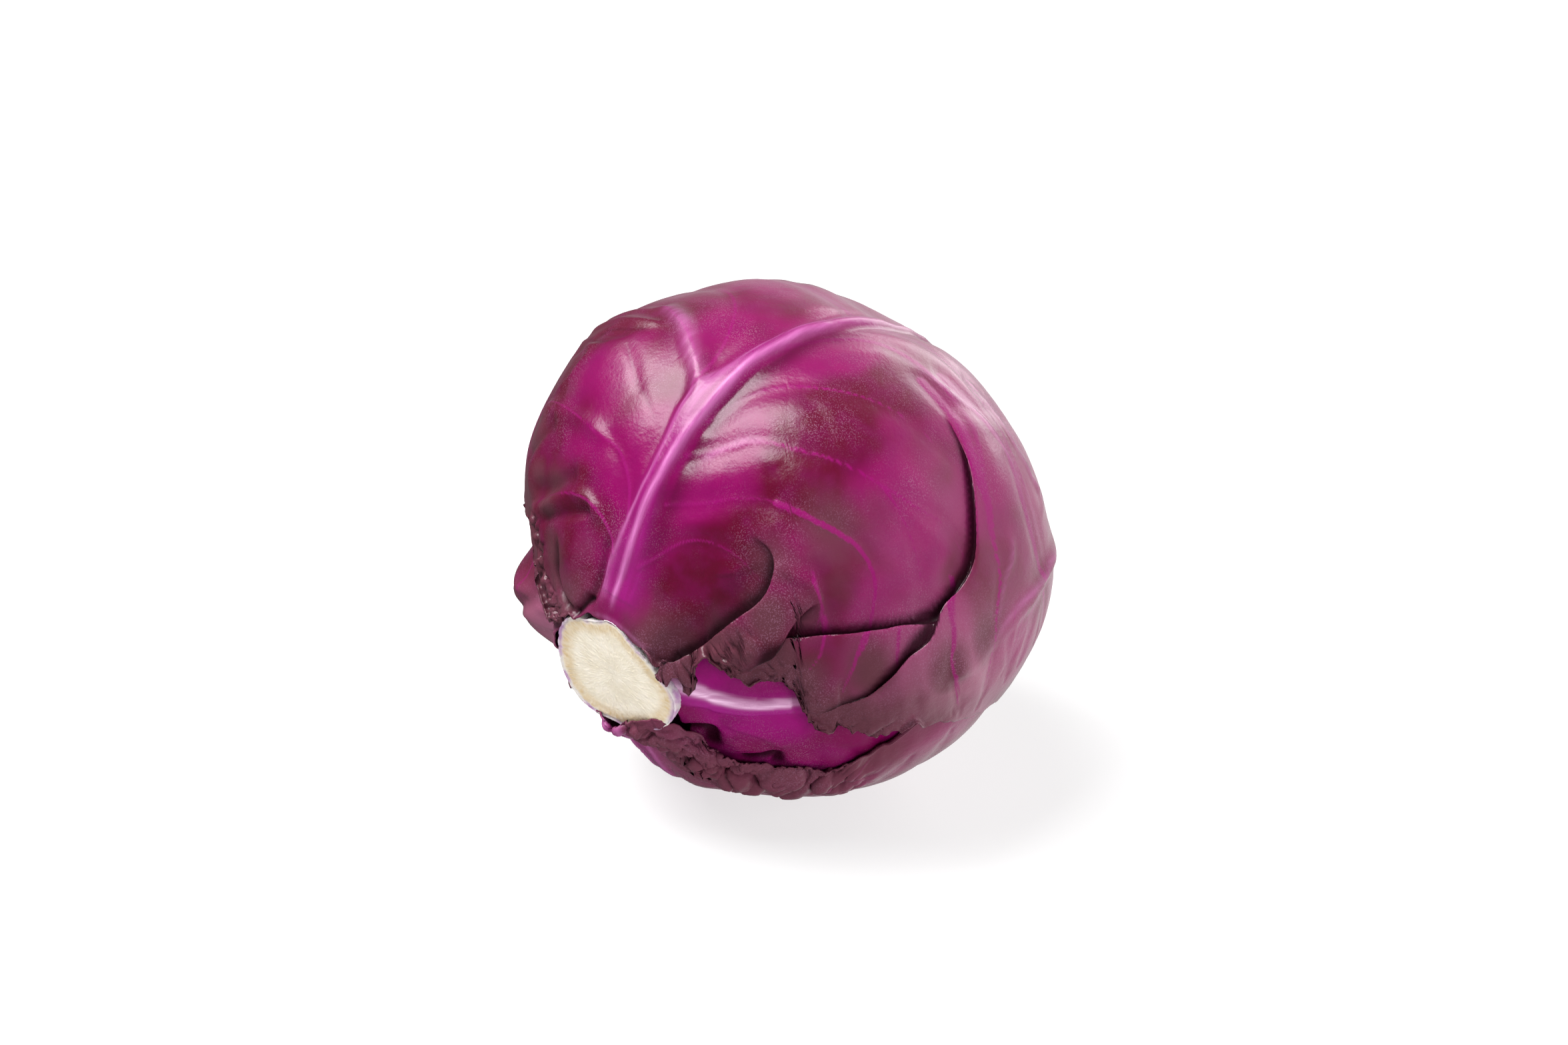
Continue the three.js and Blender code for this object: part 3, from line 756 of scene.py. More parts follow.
def leafFinish(name, look):
    kit, blend = nodeKit(name + "_skin"), skinBlend
    mixed, times, plus, ramp, noise = kit.mixed, kit.times, kit.plus, kit.ramp, kit.noise
    vein, rib, maroon, dusty = (kit.attribute(n) for n in ("vein", "rib", "maroon", "dusty"))
    crease, crest, valley = (kit.attribute(n) for n in ("crease", "crest", "valley"))

    cloudy = ramp(noise(look["cloudScale"], 2.0), *blend["cloudy"])
    mottled = ramp(noise(look["mottleScale"], 2.5), *blend["mottled"])
    redder = ramp(plus(times(cloudy, blend["cloudShare"]), kit.attribute("deep")), *blend["redder"])
    colour = mixed(redder, look["magenta"], look["crimson"])
    colour = mixed(times(mottled, blend["mottleShare"]), colour, look["violet"])
    # the dusty tint: waxy bloom, with painted sheen and reflection of the white surroundings
    colour = mixed(dusty, colour, look["dusty"])
    broken = times(noise(look["stainScale"], 2.0), blend["stainBreakup"])
    colour = mixed(ramp(plus(maroon, broken), *blend["stained"]), colour, look["maroon"])
    colour = mixed(times(ramp(vein, *blend["veined"]), look["veinShow"]), colour, look["vein"])

    # the rib and its crest, streaked along their length; the crest's pale colour is the rib's own pale tissue
    # with a painted highlight on it
    stretched = kit.node("ShaderNodeMapping", vector_type="POINT", Scale=look["streakScale"])
    kit.fill(stretched.inputs["Vector"], kit.node("ShaderNodeUVMap", uv_map="leafPlace").outputs["UV"])
    streaks = noise(blend["streakFineness"], 4.0, 0.6, stretched.outputs["Vector"])
    streaked = ramp(streaks, *blend["streaked"])
    paleRib = times(rib, kit.partly(blend["evenRib"], streaked))
    colour = mixed(times(paleRib, look["ribShow"]), colour, look["rib"])
    # painted shade in the trough beside the midrib
    colour = mixed(times(valley, blend["valleyShadeShare"]), colour, look["valley"])
    paleCrestAndHighlight = times(crest, kit.partly(blend["evenCrest"], streaked))
    colour = mixed(times(paleCrestAndHighlight, look["crestShow"]), colour, look["crest"])

    # the waxy bloom: fine pale specks, thick in patches
    speck = ramp(noise(look["speckScale"], 2.0, 0.6), *blend["speckled"])
    patches = ramp(noise(look["patchScale"], 3.0, 0.6), *blend["patchy"])
    bloom = times(times(speck, patches), look["bloom"])
    colour = mixed(kit.sums("MAXIMUM", bloom, times(patches, look["film"])), colour, look["bloomColour"])
    # painted shade: near black in folds, holes and crevices
    colour = mixed(times(crease, blend["creaseShadeShare"]), colour, look["creaseShadeColour"])
    kit.fill(kit.sockets["Base Color"], colour)

    roughness = plus(look["roughness"], times(noise(blend["roughScale"], 4.0), blend["roughSpread"]))
    kit.fill(kit.sockets["Roughness"], plus(roughness, times(maroon, blend["maroonRoughness"])))
    kit.sockets["Specular IOR Level"].default_value = look["specular"]

    # relief too fine for the mesh: the skin's grain
    coarse, fine = noise(look["grainScale"], 3.0), noise(look["fineGrainScale"], 4.0, 0.6)
    grain = plus(times(coarse, blend["coarseGrain"]), times(fine, blend["fineGrain"]))
    kit.bumped(grain, look["bump"], look["bumpHeight"])
    return kit.material


def stemFinish(look):
    kit = nodeKit("stem_flesh")
    mixed, times, plus, ramp, noise = kit.mixed, kit.times, kit.plus, kit.ramp, kit.noise
    share, fibre, skin = (kit.attribute(n) for n in ("share", "fibre", "skin"))
    outside = ramp(share, *look["ringOuter"])
    ringHere = times(ramp(share, *look["ringInner"]), kit.sums("SUBTRACT", 1.0, outside))
    colour = mixed(ramp(noise(look["pithScale"], 4.0), *look["pithPatches"]), look["pith"], look["pithDeep"])
    colour = mixed(times(ringHere, kit.partly(look["evenRing"], fibre)), colour, look["ring"])
    colour = mixed(ramp(share, look["rimFrom"], 1.0), colour, look["rim"])
    tinged = times(skin, ramp(noise(look["tingeScale"], 4.0), *look["tingePatches"]))
    colour = mixed(tinged, colour, look["tinge"])
    kit.fill(kit.sockets["Base Color"], colour)
    roughness = plus(look["roughness"], times(noise(look["roughScale"], 3.0), look["roughSpread"]))
    kit.fill(kit.sockets["Roughness"], roughness)
    kit.sockets["Subsurface Weight"].default_value = look["glow"]
    kit.sockets["Subsurface Radius"].default_value = look["glowReach"]
    kit.sockets["Subsurface Scale"].default_value = look["glowDepth"]
    cutGrain = plus(noise(look["grainScale"], 3.0), times(fibre, look["fibreGrain"]))
    kit.bumped(cutGrain, look["bump"], look["bumpHeight"])
    return kit.material


# the four wrapper leaves
darkMagenta = {
    "magenta": (0.160, 0.0012, 0.064), "crimson": (0.074, 0.0010, 0.0145), "violet": (0.125, 0.0025, 0.060),
    # the dusty colour is waxy bloom lightened as a painted reflection of the white surroundings
    "dusty": (0.285, 0.102, 0.165), "maroon": (0.084, 0.0215, 0.034),
    # the dark valley colour is painted shade for the trough beside the midrib
    "vein": (0.185, 0.0030, 0.086), "veinShow": 0.9, "valley": (0.042, 0.001, 0.013),
    # crest is the rib's pale tissue with a painted highlight along it
    "rib": (0.21, 0.007, 0.125), "ribShow": 0.9, "crest": (0.47, 0.15, 0.37), "crestShow": 0.95,
    "bloomColour": (0.27, 0.12, 0.20), "bloom": 0.40, "film": 0.008,
    # the near-black crease colour is painted shade for folds, holes and crevices
    "creaseShadeColour": (0.010, 0.001, 0.003), "roughness": 0.19, "specular": 0.245,
    "bump": 0.28, "bumpHeight": 0.0006,
    "cloudScale": 30.0, "mottleScale": 150.0, "stainScale": 70.0, "streakScale": (3.0, 26.0, 1.0),
    "speckScale": 2600.0, "patchScale": 45.0, "grainScale": 260.0, "fineGrainScale": 900.0,
}

topLeaf = {
    "node": "wrapper_leaf_top", "slot": "outer_leaf", "layer": 0, "turn": 10, "cells": 270, "seed": 3,
    "lean": 0.25, "gather": 0.15, "flare": 3.9, "look": dict(darkMagenta),
    "midrib": [
        (-84, -0.3), (-76, -0.3), (-68, -0.3), (-64, -0.7), (-60, -0.6), (-56, -0.7), (-51, -1.05),
        (-46, -1.1), (-42, -1.4), (-36, -1.6), (-31, -1.55), (-26, -1.5), (-20, -0.9), (-13, 0.1),
        (-5.6, 1.3), (-0.9, 2.3), (4, 3.2), (16, 5.8), (60, 9.4), (110, 10.4),
    ],
    "ribHeight": [
        (-84, 0.1), (-75, 0.1), (-72, 0.4), (-69, 1.2), (-66, 1.9), (-50, 2.0), (-10, 1.7), (8, 1.3),
        (24, 0.8), (110, 0.3),
    ],
    "ribWidth": [
        (-84, 8.6), (-76, 8.8), (-68, 9.0), (-64, 9.4), (-60, 8.5), (-56, 6.8), (-51, 5.5), (-46, 4.5),
        (-42, 3.8), (-36, 3.4), (-31, 3.7), (-26, 4.1), (-20, 4.0), (-13, 2.9), (-5.6, 2.5), (4, 2.3),
        (60, 2.1), (110, 2.0),
    ],
    "crestMm": 1.15,
    "crestLine": [
        (-84, -1.8), (-76, -1.6), (-70, -1.4), (-66, -1.2), (-61, -0.9), (-57, -0.8), (-52, -0.8),
        (-46, -0.95), (-41.6, -0.85), (-36, -0.7), (-30.4, -0.2), (-25.7, 0.2), (-20, 0.7), (-16.9, 0.85),
        (-13.2, 0.95), (-9, 1.3), (-5.6, 1.9), (-0.9, 2.8), (4, 3.6), (16, 6.2), (60, 9.8), (110, 10.8),
    ],
    "trough": 1.3,
    "troughLine": [
        (-84, 10.5), (-70, 9.6), (-64, 8.6), (-60, 7.7), (-57, 6.6), (-52, 5.2), (-46, 4.3), (-42, 3.8),
        (-37, 3.4), (-31, 3.1), (-22, 3.0), (-18, 3.2), (-12, 3.8), (-8, 4.4), (-3, 5.0), (4, 5.8),
        (16, 8.4), (60, 12), (110, 13),
    ],
    "reach": [
        (-180, 75.5), (-173, 76.5), (-168, 80.8), (-162, 86.5), (-157.5, 90), (-153, 89.5), (-148, 87),
        (-145, 83), (-142, 79.5), (-138, 78), (-130, 80), (-118, 83), (-105, 87), (-90, 90), (-60, 96),
        (-30, 101), (0, 104), (30, 104), (60, 106), (83, 107), (91, 104.6), (96, 101.8), (100.7, 99.3),
        (104.2, 97.3), (107.2, 95.4), (109.3, 95.2), (112, 92.6), (115.2, 94.5), (117.9, 95.4),
        (121.3, 94.9), (124.2, 93.2), (127.4, 90.3), (129, 92), (131.4, 92.6), (133.4, 91), (134.8, 88),
        (135.7, 83), (136.8, 78.5), (140, 79.1), (144.4, 80.5), (147.2, 80.7), (149.4, 78), (151.8, 76.2),
        (154, 77), (156.1, 76.3), (157.6, 80), (159, 84.5), (162, 83), (165, 82.4), (168, 80.3), (172, 77),
        (177, 75.5), (180, 75.5),
    ],
    "crinkle": [
        (-180, 0), (-172, 0.2), (-164, 0.9), (-150, 1), (-138, 0.6), (-120, 0.2), (-90, 0.2), (90, 0.3),
        (110, 0.5), (130, 0.9), (150, 1), (165, 0.8), (174, 0), (180, 0),
    ],
    "edgeDrop": [
        (-180, 0), (-170, 0.4), (-150, 1.2), (-120, 1.3), (-90, 1.1), (90, 1.1), (115, 1.4), (134, 2.6),
        (150, 3.0), (162, 2.2), (172, 0.6), (180, 0),
    ],
    "folds": [
        {"lip": [(0, 1.0), (0.08, 2.6), (0.8, 2.4), (0.93, 1.2), (1, 0)], "points": [
            (-61, 41), (-55, 43), (-50, 46), (-42, 53), (-34, 59), (-23, 65), (-16, 66), (-9, 65),
            (-3, 62), (2, 56), (8, 48), (11, 41), (13, 33)]},
        {"lip": [(0, 0), (0.2, 0.9), (0.5, 1.9), (0.8, 1.8), (1, 0)], "points": [
            (-62, 64), (-56, 66), (-49, 68), (-42, 70), (-35, 70), (-29, 69), (-23, 69), (-16, 67),
            (-9, 65)]},
        {"lip": [(0, 4.4), (0.3, 4.2), (0.65, 3.0), (0.88, 1.5), (1, 0)], "run": 14, "hollow": 9,
         "gather": 3.4, "draw": 0.6, "width": 4.4, "tuck": 2.5, "sink": 1.7, "dark": 2.4, "points": [
             (-75, 23), (-69, 28), (-62, 31), (-56, 33), (-50, 35), (-45, 35), (-41, 33), (-39, 29),
             (-40, 22)]},
        {"lip": [(0, 0), (0.25, 1.2), (0.6, 2.3), (0.85, 2.2), (1, 1.0)], "run": 6, "hollow": 5,
         "gather": 3.0, "width": 2.6, "tuck": 1.7, "dark": 1.5, "points": [
             (-37, 46), (-42, 44.5), (-48, 43.5), (-54, 42.5), (-60, 41.5), (-65, 39)]},
    ],
    "lifts": [
        (-21, -20, 10, 0.5), (-17, -34, 13, 4.0), (-38, -46, 7, 1.4), (-47, -46, 5, 1.4),
        (-58, -30, 5, 1.0), (-68, -19, 6, 1.6), (-8, -52, 9, 1.2), (13, -36, 9, -1.2), (34, 0, 15, -3.2),
        (-79, 10, 8, 2), (-20, 20, 16, 1.2), (-54, 20, 9, -1.6), (-12, 44, 14, 0.8), (38, 78, 16, 0.9),
        (-62, -23, 6, 1.6),
    ],
    "strokes": [
        ([(-34, -3), (-26, -4), (-20, -5), (-15, -9), (-11, -15), (-6, -23), (-2, -33)], 3.0, 0.9),
        ([(-54, -54), (-55, -39), (-53, -32), (-51, -25), (-51, -20), (-53, -15), (-57, -9)], 2.6, 1.7),
        ([(-58, -40), (-57, -34), (-56, -28), (-54, -20), (-53, -16)], 2.2, -1.5, 0.45),
        ([(-50, -48), (-50, -35), (-48, -30), (-46, -24)], 3.2, -1.3, 0.3),
        # the margin folded back beside the stem, and the panel it frames
        ([(-60, -27), (-66, -28), (-70, -29), (-74, -26), (-76.5, -20), (-77, -13)], 1.6, -1.8, 0.8),
        ([(-78, -17), (-75, -13), (-71, -10)], 1.8, -1.8, 1.0),
        ([(-76, -12), (-74.5, -3), (-74.5, 4), (-75, 11), (-75, 17)], 1.0, 0.5),
        ([(-42, -56), (-40, -48), (-37, -43), (-36, -38)], 3.0, -1.0, 0.25),
        ([(-29, -55), (-31, -47), (-33, -39), (-34.5, -32), (-36.5, -24), (-40, -16)], 3.0, 1.5),
        ([(-58, -51), (-61, -42), (-64, -42), (-68, -38)], 1.7, -2.6, 1.0),
        ([(-16, -28), (-19, -25), (-22.5, -21), (-25, -18), (-28, -13), (-32, -8)], 0.6, -0.22, 0.2),
        ([(-9, -58), (-18, -38), (-22, -38), (-26, -42), (-27, -50)], 1.6, 0.7),
        ([(-12, -1.5), (-17.7, -3.9), (-22.9, -4.8), (-28, -4.6), (-34, -4.1), (-42, -4.4)], 1.1, 0.4),
        ([(-37, 34), (-39, 37), (-38, 42), (-40, 46.5), (-42, 52)], 1.8, 0.9),
        ([(-4, -27), (-4, -34), (-4, -42), (-5, -53)], 2.2, 0.8),
        ([(-16, -30), (-19, -24), (-24, -19), (-28, -16)], 1.8, -0.3),
        ([(-24, 79), (-17, 80), (-5, 80), (5, 79), (19, 77), (32, 73), (47, 67)], 2.6, 1.7),
        ([(-24, -4), (-18, -7), (-14, -12), (-8, -19), (-4, -27), (-1, -33)], 3.2, 1.3),
        ([(-7, -54), (-8, -46), (-9, -37), (-10, -27), (-8, -23)], 2.0, 0.9),
        ([(-14, -54), (-15, -45), (-15, -35), (-14, -27)], 2.2, -1.0),
        ([(-56, -10), (-63, -9), (-70, -9), (-76, -11)], 2.0, -1.8),
        # the long ridges down the right side
        ([(17, 24), (21, 33.8), (23.7, 38.2), (24.1, 43.1), (24.4, 47.8), (24.1, 53)], 1.2, 0.5),
        ([(33, 26), (33.8, 35), (32.1, 43.4), (32.5, 49.8), (33.3, 56.1), (37.4, 60.4),
          (42.6, 65.2)], 1.2, 0.55),
        ([(36, 48), (35.6, 53.1), (33.8, 58.2), (33.5, 61.2), (26.9, 64.4)], 1.2, 0.4),
        ([(10, 60), (8, 65.8), (3, 69.7), (-0.1, 74), (-3, 80)], 1.4, 0.5),
        # small creases high on the left
        ([(-15, -42), (-13.3, -36.3), (-12.7, -29.4), (-11.7, -25)], 0.7, -0.25, 0.3),
        ([(-9.3, -55.7), (-14.3, -41.7), (-16.1, -32.6)], 0.9, 0.3),
        ([(-11, -50), (-15.4, -40), (-17.2, -32)], 0.6, -0.25, 0.3),
        ([(-12.1, -38.6), (-10.7, -34), (-9.7, -28.6), (-9.1, -24.2)], 0.7, 0.25),
        ([(-17.6, -48), (-16.9, -42.4), (-17, -35.8), (-16.9, -31.9)], 0.7, -0.25, 0.3),
    ],
    "veins": [
        ([(-34, 2), (-29, 9), (-24, 14), (-20, 22), (-16, 30), (-13, 39), (-14, 48), (-17, 57),
          (-23, 66)], 1.0),
        ([(-13, 38), (-9, 47), (-6, 52), (-5, 58), (-5, 64)], 0.7),
        ([(-26, 2), (-15, 7), (-6, 17), (1, 28), (4, 38), (6, 47)], 0.9),
        ([(-45, 3), (-40, 12), (-35, 18), (-31, 25), (-28, 34), (-26, 40)], 0.75),
        ([(-31, 25), (-28, 34), (-26, 40), (-25, 45), (-27, 52), (-34, 58), (-40, 60), (-46, 63)], 1.5),
        ([(-60, 3), (-50, 11), (-46, 18), (-45, 26), (-47, 34)], 0.8),
        ([(-29, 64), (-33, 67), (-36, 71), (-44, 74)], 0.8), ([(-35, 59), (-41, 60), (-48, 63)], 0.6),
        ([(-36, 40), (-39, 46), (-41, 52)], 0.7),
        ([(-6, 2), (7, 8), (14, 14), (18, 23), (19, 31), (18, 39), (13, 47), (8, 54), (4, 60), (1, 70),
          (-5, 77), (-9, 90)], 0.9),
        ([(12, 5), (26, 10), (30, 21), (31, 34), (28, 47), (25, 57), (24, 68), (24, 80), (22, 92)], 0.9),
        ([(-11, 66), (-14, 69), (-18, 74), (-21, 82)], 0.8), ([(10, 80), (6, 86), (2, 93)], 0.7),
        ([(-20, 80), (-19, 87), (-21, 93)], 0.7), ([(18, 78), (14, 86), (10, 94)], 0.6),
        ([(31, 34), (38, 44), (42, 58), (44, 74)], 0.6), ([(18, 39), (22, 48), (22, 58)], 0.5),
        ([(14.4, 27), (14.6, 35), (14.4, 39), (12.3, 44.5), (9.9, 49.7), (7.9, 54.3), (4.8, 59.5),
          (3, 64.2), (2, 68), (-1.6, 74.4), (-3.7, 79.3), (-7, 88), (-10, 98)], 1.7),
        ([(22, 28), (24, 36), (24.7, 42.6), (25.5, 48), (23.3, 53.2), (20.9, 58.1), (20, 63.8),
          (20.3, 68.9), (21.6, 74.8), (23.7, 77.9), (27, 84.6), (28, 95)], 1.8),
        ([(33, 30), (38, 38), (37, 47), (40, 53), (40, 61), (44, 67), (42, 80)], 1.4),
        ([(-10, 62), (-12, 65), (-15, 69), (-20, 76), (-20, 85), (-18, 95)], 1.4),
        ([(25, 78), (14, 82), (8, 86), (0, 92)], 0.7), ([(5, 78), (2, 84), (4, 96)], 0.6),
        ([(-40, -3), (-30, -4.5), (-20, -6), (-13, -12), (-8, -20), (-2, -33), (2, -48)], 0.9),
        ([(-51, -5), (-44, -9), (-39, -15), (-37, -23), (-34, -32), (-30, -46), (-28, -60)], 0.9),
        ([(-60, -6), (-55, -11), (-52, -16), (-51, -23), (-52, -32), (-54, -42), (-56, -52)], 0.9),
        ([(-20, -5), (-8, -8), (4, -16), (12, -28), (18, -44), (22, -60)], 0.8),
        ([(-34.8, 58.6), (-36.9, 59.9), (-40.4, 60.1), (-42.6, 61.5), (-46.6, 63.3), (-50, 65)], 1.3),
        ([(-40.8, 48.5), (-43.6, 51.9), (-46.1, 53.2), (-48.4, 53.6), (-51.8, 53.3), (-54, 52)], 1.0),
        ([(-37, 41), (-37.9, 43.3), (-39.2, 45.8), (-40.6, 47.5), (-44.2, 48.8), (-46, 49)], 0.9),
        ([(-40.6, 47.5), (-40.7, 49.4), (-41.3, 51.7), (-42, 54)], 0.8),
        ([(-31, 68.5), (-33.6, 68.9), (-37.2, 69.4), (-42, 71)], 1.2),
        ([(-20, 22), (-28, 22), (-34, 26)], 0.4), ([(-15, 7), (-10, 14), (-14, 26)], 0.4),
    ],
    "veinRule": {"right": (42, 96), "left": (18, 92), "pitch": 15, "length": 62, "strength": 0.8, "seed": 41},
    "rolls": [
        (-158, 14, 3.2, 1.3), (169, 3.4, 3.6, 1.4), (156, 4, 3.4, 1.5), (146, 3, 2.4, 1.2),
        (131, 3.5, 2.6, 1.3), (112, 5, 2.2, 1.2),
    ],
    "crumples": [
        {"points": [(-58, -45), (-64, -40), (-70, -39.5), (-76, -35.5), (-81, -29), (-82, -23)], "width": 3.2,
         "height": 3.2, "size": 3.6, "seed": 61},
        {"points": [(-80, 22), (-75, 28), (-70, 34), (-64, 38)], "width": 4.0,
         "height": 2.8, "size": 5.0, "seed": 67},
        {"points": [(-67, 33), (-62, 35), (-57, 38)], "width": 3.0, "height": 3.6, "size": 3.4, "seed": 75},
        {"points": [(-60, 48), (-58, 56), (-63, 62)], "width": 4.0, "height": 1.2, "size": 5.0, "seed": 71},
        {"points": [(-58, 74), (-46, 84), (-36, 94), (-26, 98)], "width": 5.0, "height": 1.3,
         "size": 6.5, "seed": 73, "squeeze": (0.8, 1.3)},
    ],
    "maroon": [
        (-27, 37, 9, 0.8), (-40, 32, 7, 0.7), (-17, 40, 5, 0.4), (-33, 46, 6, 0.5), (-44, 45, 8, 0.7),
        (-25, 44, 5, 0.5), (-54, -35, 5, 0.8), (-47, -42, 4, 0.7), (-22, 78, 9, 0.9), (-39, 65, 9, 0.95),
        (-8, 78, 7, 0.7), (-50, 38, 7, 0.95), (-60, 37, 7, 0.95), (-74, 25, 6, 0.8), (-56, 55, 10, 0.9),
        (-12, -48, 8, 0.6), (-28, -37, 4, 0.4), (-66, -30, 8, 0.8), (-36, -50, 8, 0.8), (-62, -16, 5, 0.4),
        (-20, -50, 8, 0.6), (-50, -34, 6, 0.7), (-72, -30, 7, 0.9),
    ],
    "maroonEdge": [
        (-180, 0.1), (-172, 0.4), (-164, 0.9), (-140, 0.9), (-115, 0.6), (-90, 0.4), (90, 0.4), (110, 0.7),
        (130, 0.9), (168, 0.9), (176, 0.4), (180, 0.1),
    ],
    # dusty patches: waxy bloom, and painted sheen where the white surroundings reflect on the right and top
    "dusty": [
        (10, 78, 24, 0.28), (40, 62, 26, 0.45), (-24, 88, 22, 1.0), (-46, 82, 12, 0.8), (40, 10, 30, 0.35),
        (24, -40, 26, 0.3), (-18, 52, 12, 0.16), (-2, 48, 12, 0.2), (-31, 57, 9, 0.12), (-44, 76, 10, 0.5),
    ],
    "deep": [
        (-9, -32, 6, 0.9), (-4, -26, 5, 0.7), (-17, -38, 4, 0.6), (-6, 22, 6, 0.9), (-18, 24, 7, 1.1),
        (-26, 27, 7, 1.0), (-38, 24, 5, 0.6), (-57, 17, 5, 0.8), (-49, -24, 5, 0.7), (-41, -39, 4, 0.7),
        (3, 23, 5, 0.6), (-66, 22, 5, 0.7), (-69, -12, 4, 0.9), (6, 29, 4, 0.5), (-59, -25, 5, 0.8),
        (-11, 30, 4, 0.5), (-48, 19, 8, 0.8), (-60, 12, 5, 0.5), (-9, -44, 6, 0.8), (-72, 16, 6, 0.7),
        (-34, -30, 5, 0.4), (-79, -5, 4, 0.95), (-79, 5, 4, 0.95), (-79, 14, 4, 0.95), (-64, 15, 5, 0.5),
        (-68, -20, 6, 0.5), (-54, -38, 9, 0.7), (-38, -46, 9, 0.7), (-24, -48, 8, 0.8), (-62, -30, 6, 0.6),
        (-6, -50, 8, 0.6),
        # and where it stays bright
        (-11, 5, 7, -0.8), (-3, -12, 6, -0.8), (-46, -8, 5, -0.8), (5, 14, 5, -0.6), (-32, -8, 5, -0.8),
        (-13, 53, 5, -0.8), (-30, 54, 5, -0.8), (-40, 10, 4, -0.6), (-24, 12, 6, -0.9), (-32, 9, 5, -0.7),
        (-68, 4, 4, -0.8), (-8, 42, 5, -0.6),
    ],
    # pale lines along the rib and ridges: pale tissue, with painted highlight and sheen on the ridges
    "pale": [
        ([(-24, -4), (-18, -7), (-14, -12), (-8, -19), (-4, -27), (-1, -33)], 2.2, 0.5),
        ([(-34, 5), (-30, 8), (-25, 12), (-22, 17)], 1.0, 0.4),
        ([(-38, -0.9), (-30.4, -0.2), (-25.7, 0.2), (-20, 0.7), (-13.2, 0.95), (-5.6, 1.9)], 1.2, 0.5),
        ([(-7.3, 0.8), (-12, -0.8), (-17.5, -1.9), (-22, -2.6), (-27.1, -2.4), (-33, -2.4)], 1.5, 0.5),
        ([(-10, -1), (-17.7, -3.9), (-22.9, -4.8), (-28, -4.6), (-34, -4.1), (-42, -4.4)], 1.1, 0.55),
        ([(-71, -4), (-68, -5.5), (-64, -6.5), (-60, -6), (-55, -5.2)], 1.8, 0.4),
        ([(14, 18), (17, 24), (21, 33.8), (23.7, 38.2), (24.1, 43.1), (24.4, 47.8), (24.1, 53),
          (24, 60)], 1.0, 0.35),
        ([(33, 26), (33.8, 35), (32.1, 43.4), (32.5, 49.8), (33.3, 56.1), (37.4, 60.4), (42.6, 65.2),
          (46, 70)], 1.0, 0.35),
        ([(47.6, 65.7), (41.3, 70.5), (28.3, 73.2), (23.3, 75.3), (13.5, 76.5), (3.6, 77.9), (-4.9, 80.4),
          (-12, 83)], 1.1, 0.35),
        ([(10, 60), (8, 65.8), (3, 69.7), (-0.1, 74), (-3, 80)], 0.9, 0.25),
        ([(-76, -12), (-74.5, -3), (-74.5, 4), (-75, 11), (-75, 17)], 0.9, 0.3),
    ],
}

underLeaf = {
    "node": "wrapper_leaf_under", "slot": "outer_leaf", "layer": 1, "turn": 188, "cells": 230, "seed": 5,
    "lean": 0.2, "flare": 6.2,
    # its maroon is painted lighter than the top leaf's, as painted light where the leaf sits low in dim light
    "look": dict(darkMagenta, specular=0.17, roughness=0.20, maroon=(0.108, 0.0255, 0.045)),
    "midrib": [(-72, 2), (0, 0), (90, -6)],
    "ribHeight": [(-72, 2.6), (-30, 2.4), (30, 1), (80, 0.2)],
    "ribWidth": [(-72, 6), (0, 4), (60, 3)],
    "reach": [
        (-180, 76), (-176, 79), (-172, 82), (-168, 84), (-164, 83), (-161, 78), (-158, 72), (-154, 69),
        (-148, 68.3), (-141, 67.2), (-136, 66.5), (-131, 65), (-127.5, 64), (-125, 66), (-120.5, 70),
        (-115.5, 74.5), (-107.5, 81), (-95, 88), (-80, 90), (-40, 93), (0, 96), (20, 92), (40, 82),
        (60, 68), (90, 58), (115, 52), (138, 51), (150, 62), (158, 72), (165, 76.5), (173, 75), (180, 74.5),
    ],
    "crinkle": [
        (-180, 0), (-172, 0.3), (-160, 0.9), (-136, 1), (-128, 0.4), (-115, 0.1), (-90, 0.1), (90, 0.1),
        (120, 0.3), (145, 0.8), (162, 1), (172, 0.3), (180, 0),
    ],
    "edgeDrop": [(-180, 0), (-170, 0.6), (-150, 1.2), (-90, 1.6), (90, 1.2), (165, 0.6), (180, 0)],
    "lifts": [(-47, -9, 9, 3.2), (-66, 21, 8, 3.6)],
    "veinRule": {
        "right": (-56, 90), "left": (-50, 90), "pitch": 16, "length": 74, "strength": 0.85, "seed": 43},
    "rolls": [(-110, 16, 2.2, 1.2), (160, 8, 3.0, 1.2)],
    "crumples": [
        {"points": [(-64, -16), (-54, -26), (-44, -36), (-36, -46)], "width": 8.5, "height": 6.0,
         "size": 6.6, "seed": 81, "squeeze": (1.15, 0.75)},
        {"points": [(-79, 4), (-77, -8), (-72, -16), (-64, -22), (-57, -28)], "width": 6.5, "height": 4.6,
         "size": 4.2, "seed": 87, "squeeze": (1.0, 0.8)},
        {"points": [(-72, 14), (-66, 21), (-58, 26)], "width": 5.0, "height": 1.6, "size": 5.0, "seed": 83},
    ],
    "maroon": [(-60, -26, 16, 0.8), (-40, -52, 12, 0.6), (-66, 20, 12, 0.6)],
    "maroonEdge": [(-180, 0.4), (-140, 0.9), (-90, 0.6), (90, 0.5), (140, 0.9), (180, 0.4)],
    # the dusty tint over the whole leaf is waxy bloom, lightened as painted light for the dim underside
    "dusty": [(0, 0, 70, 0.65)],
}

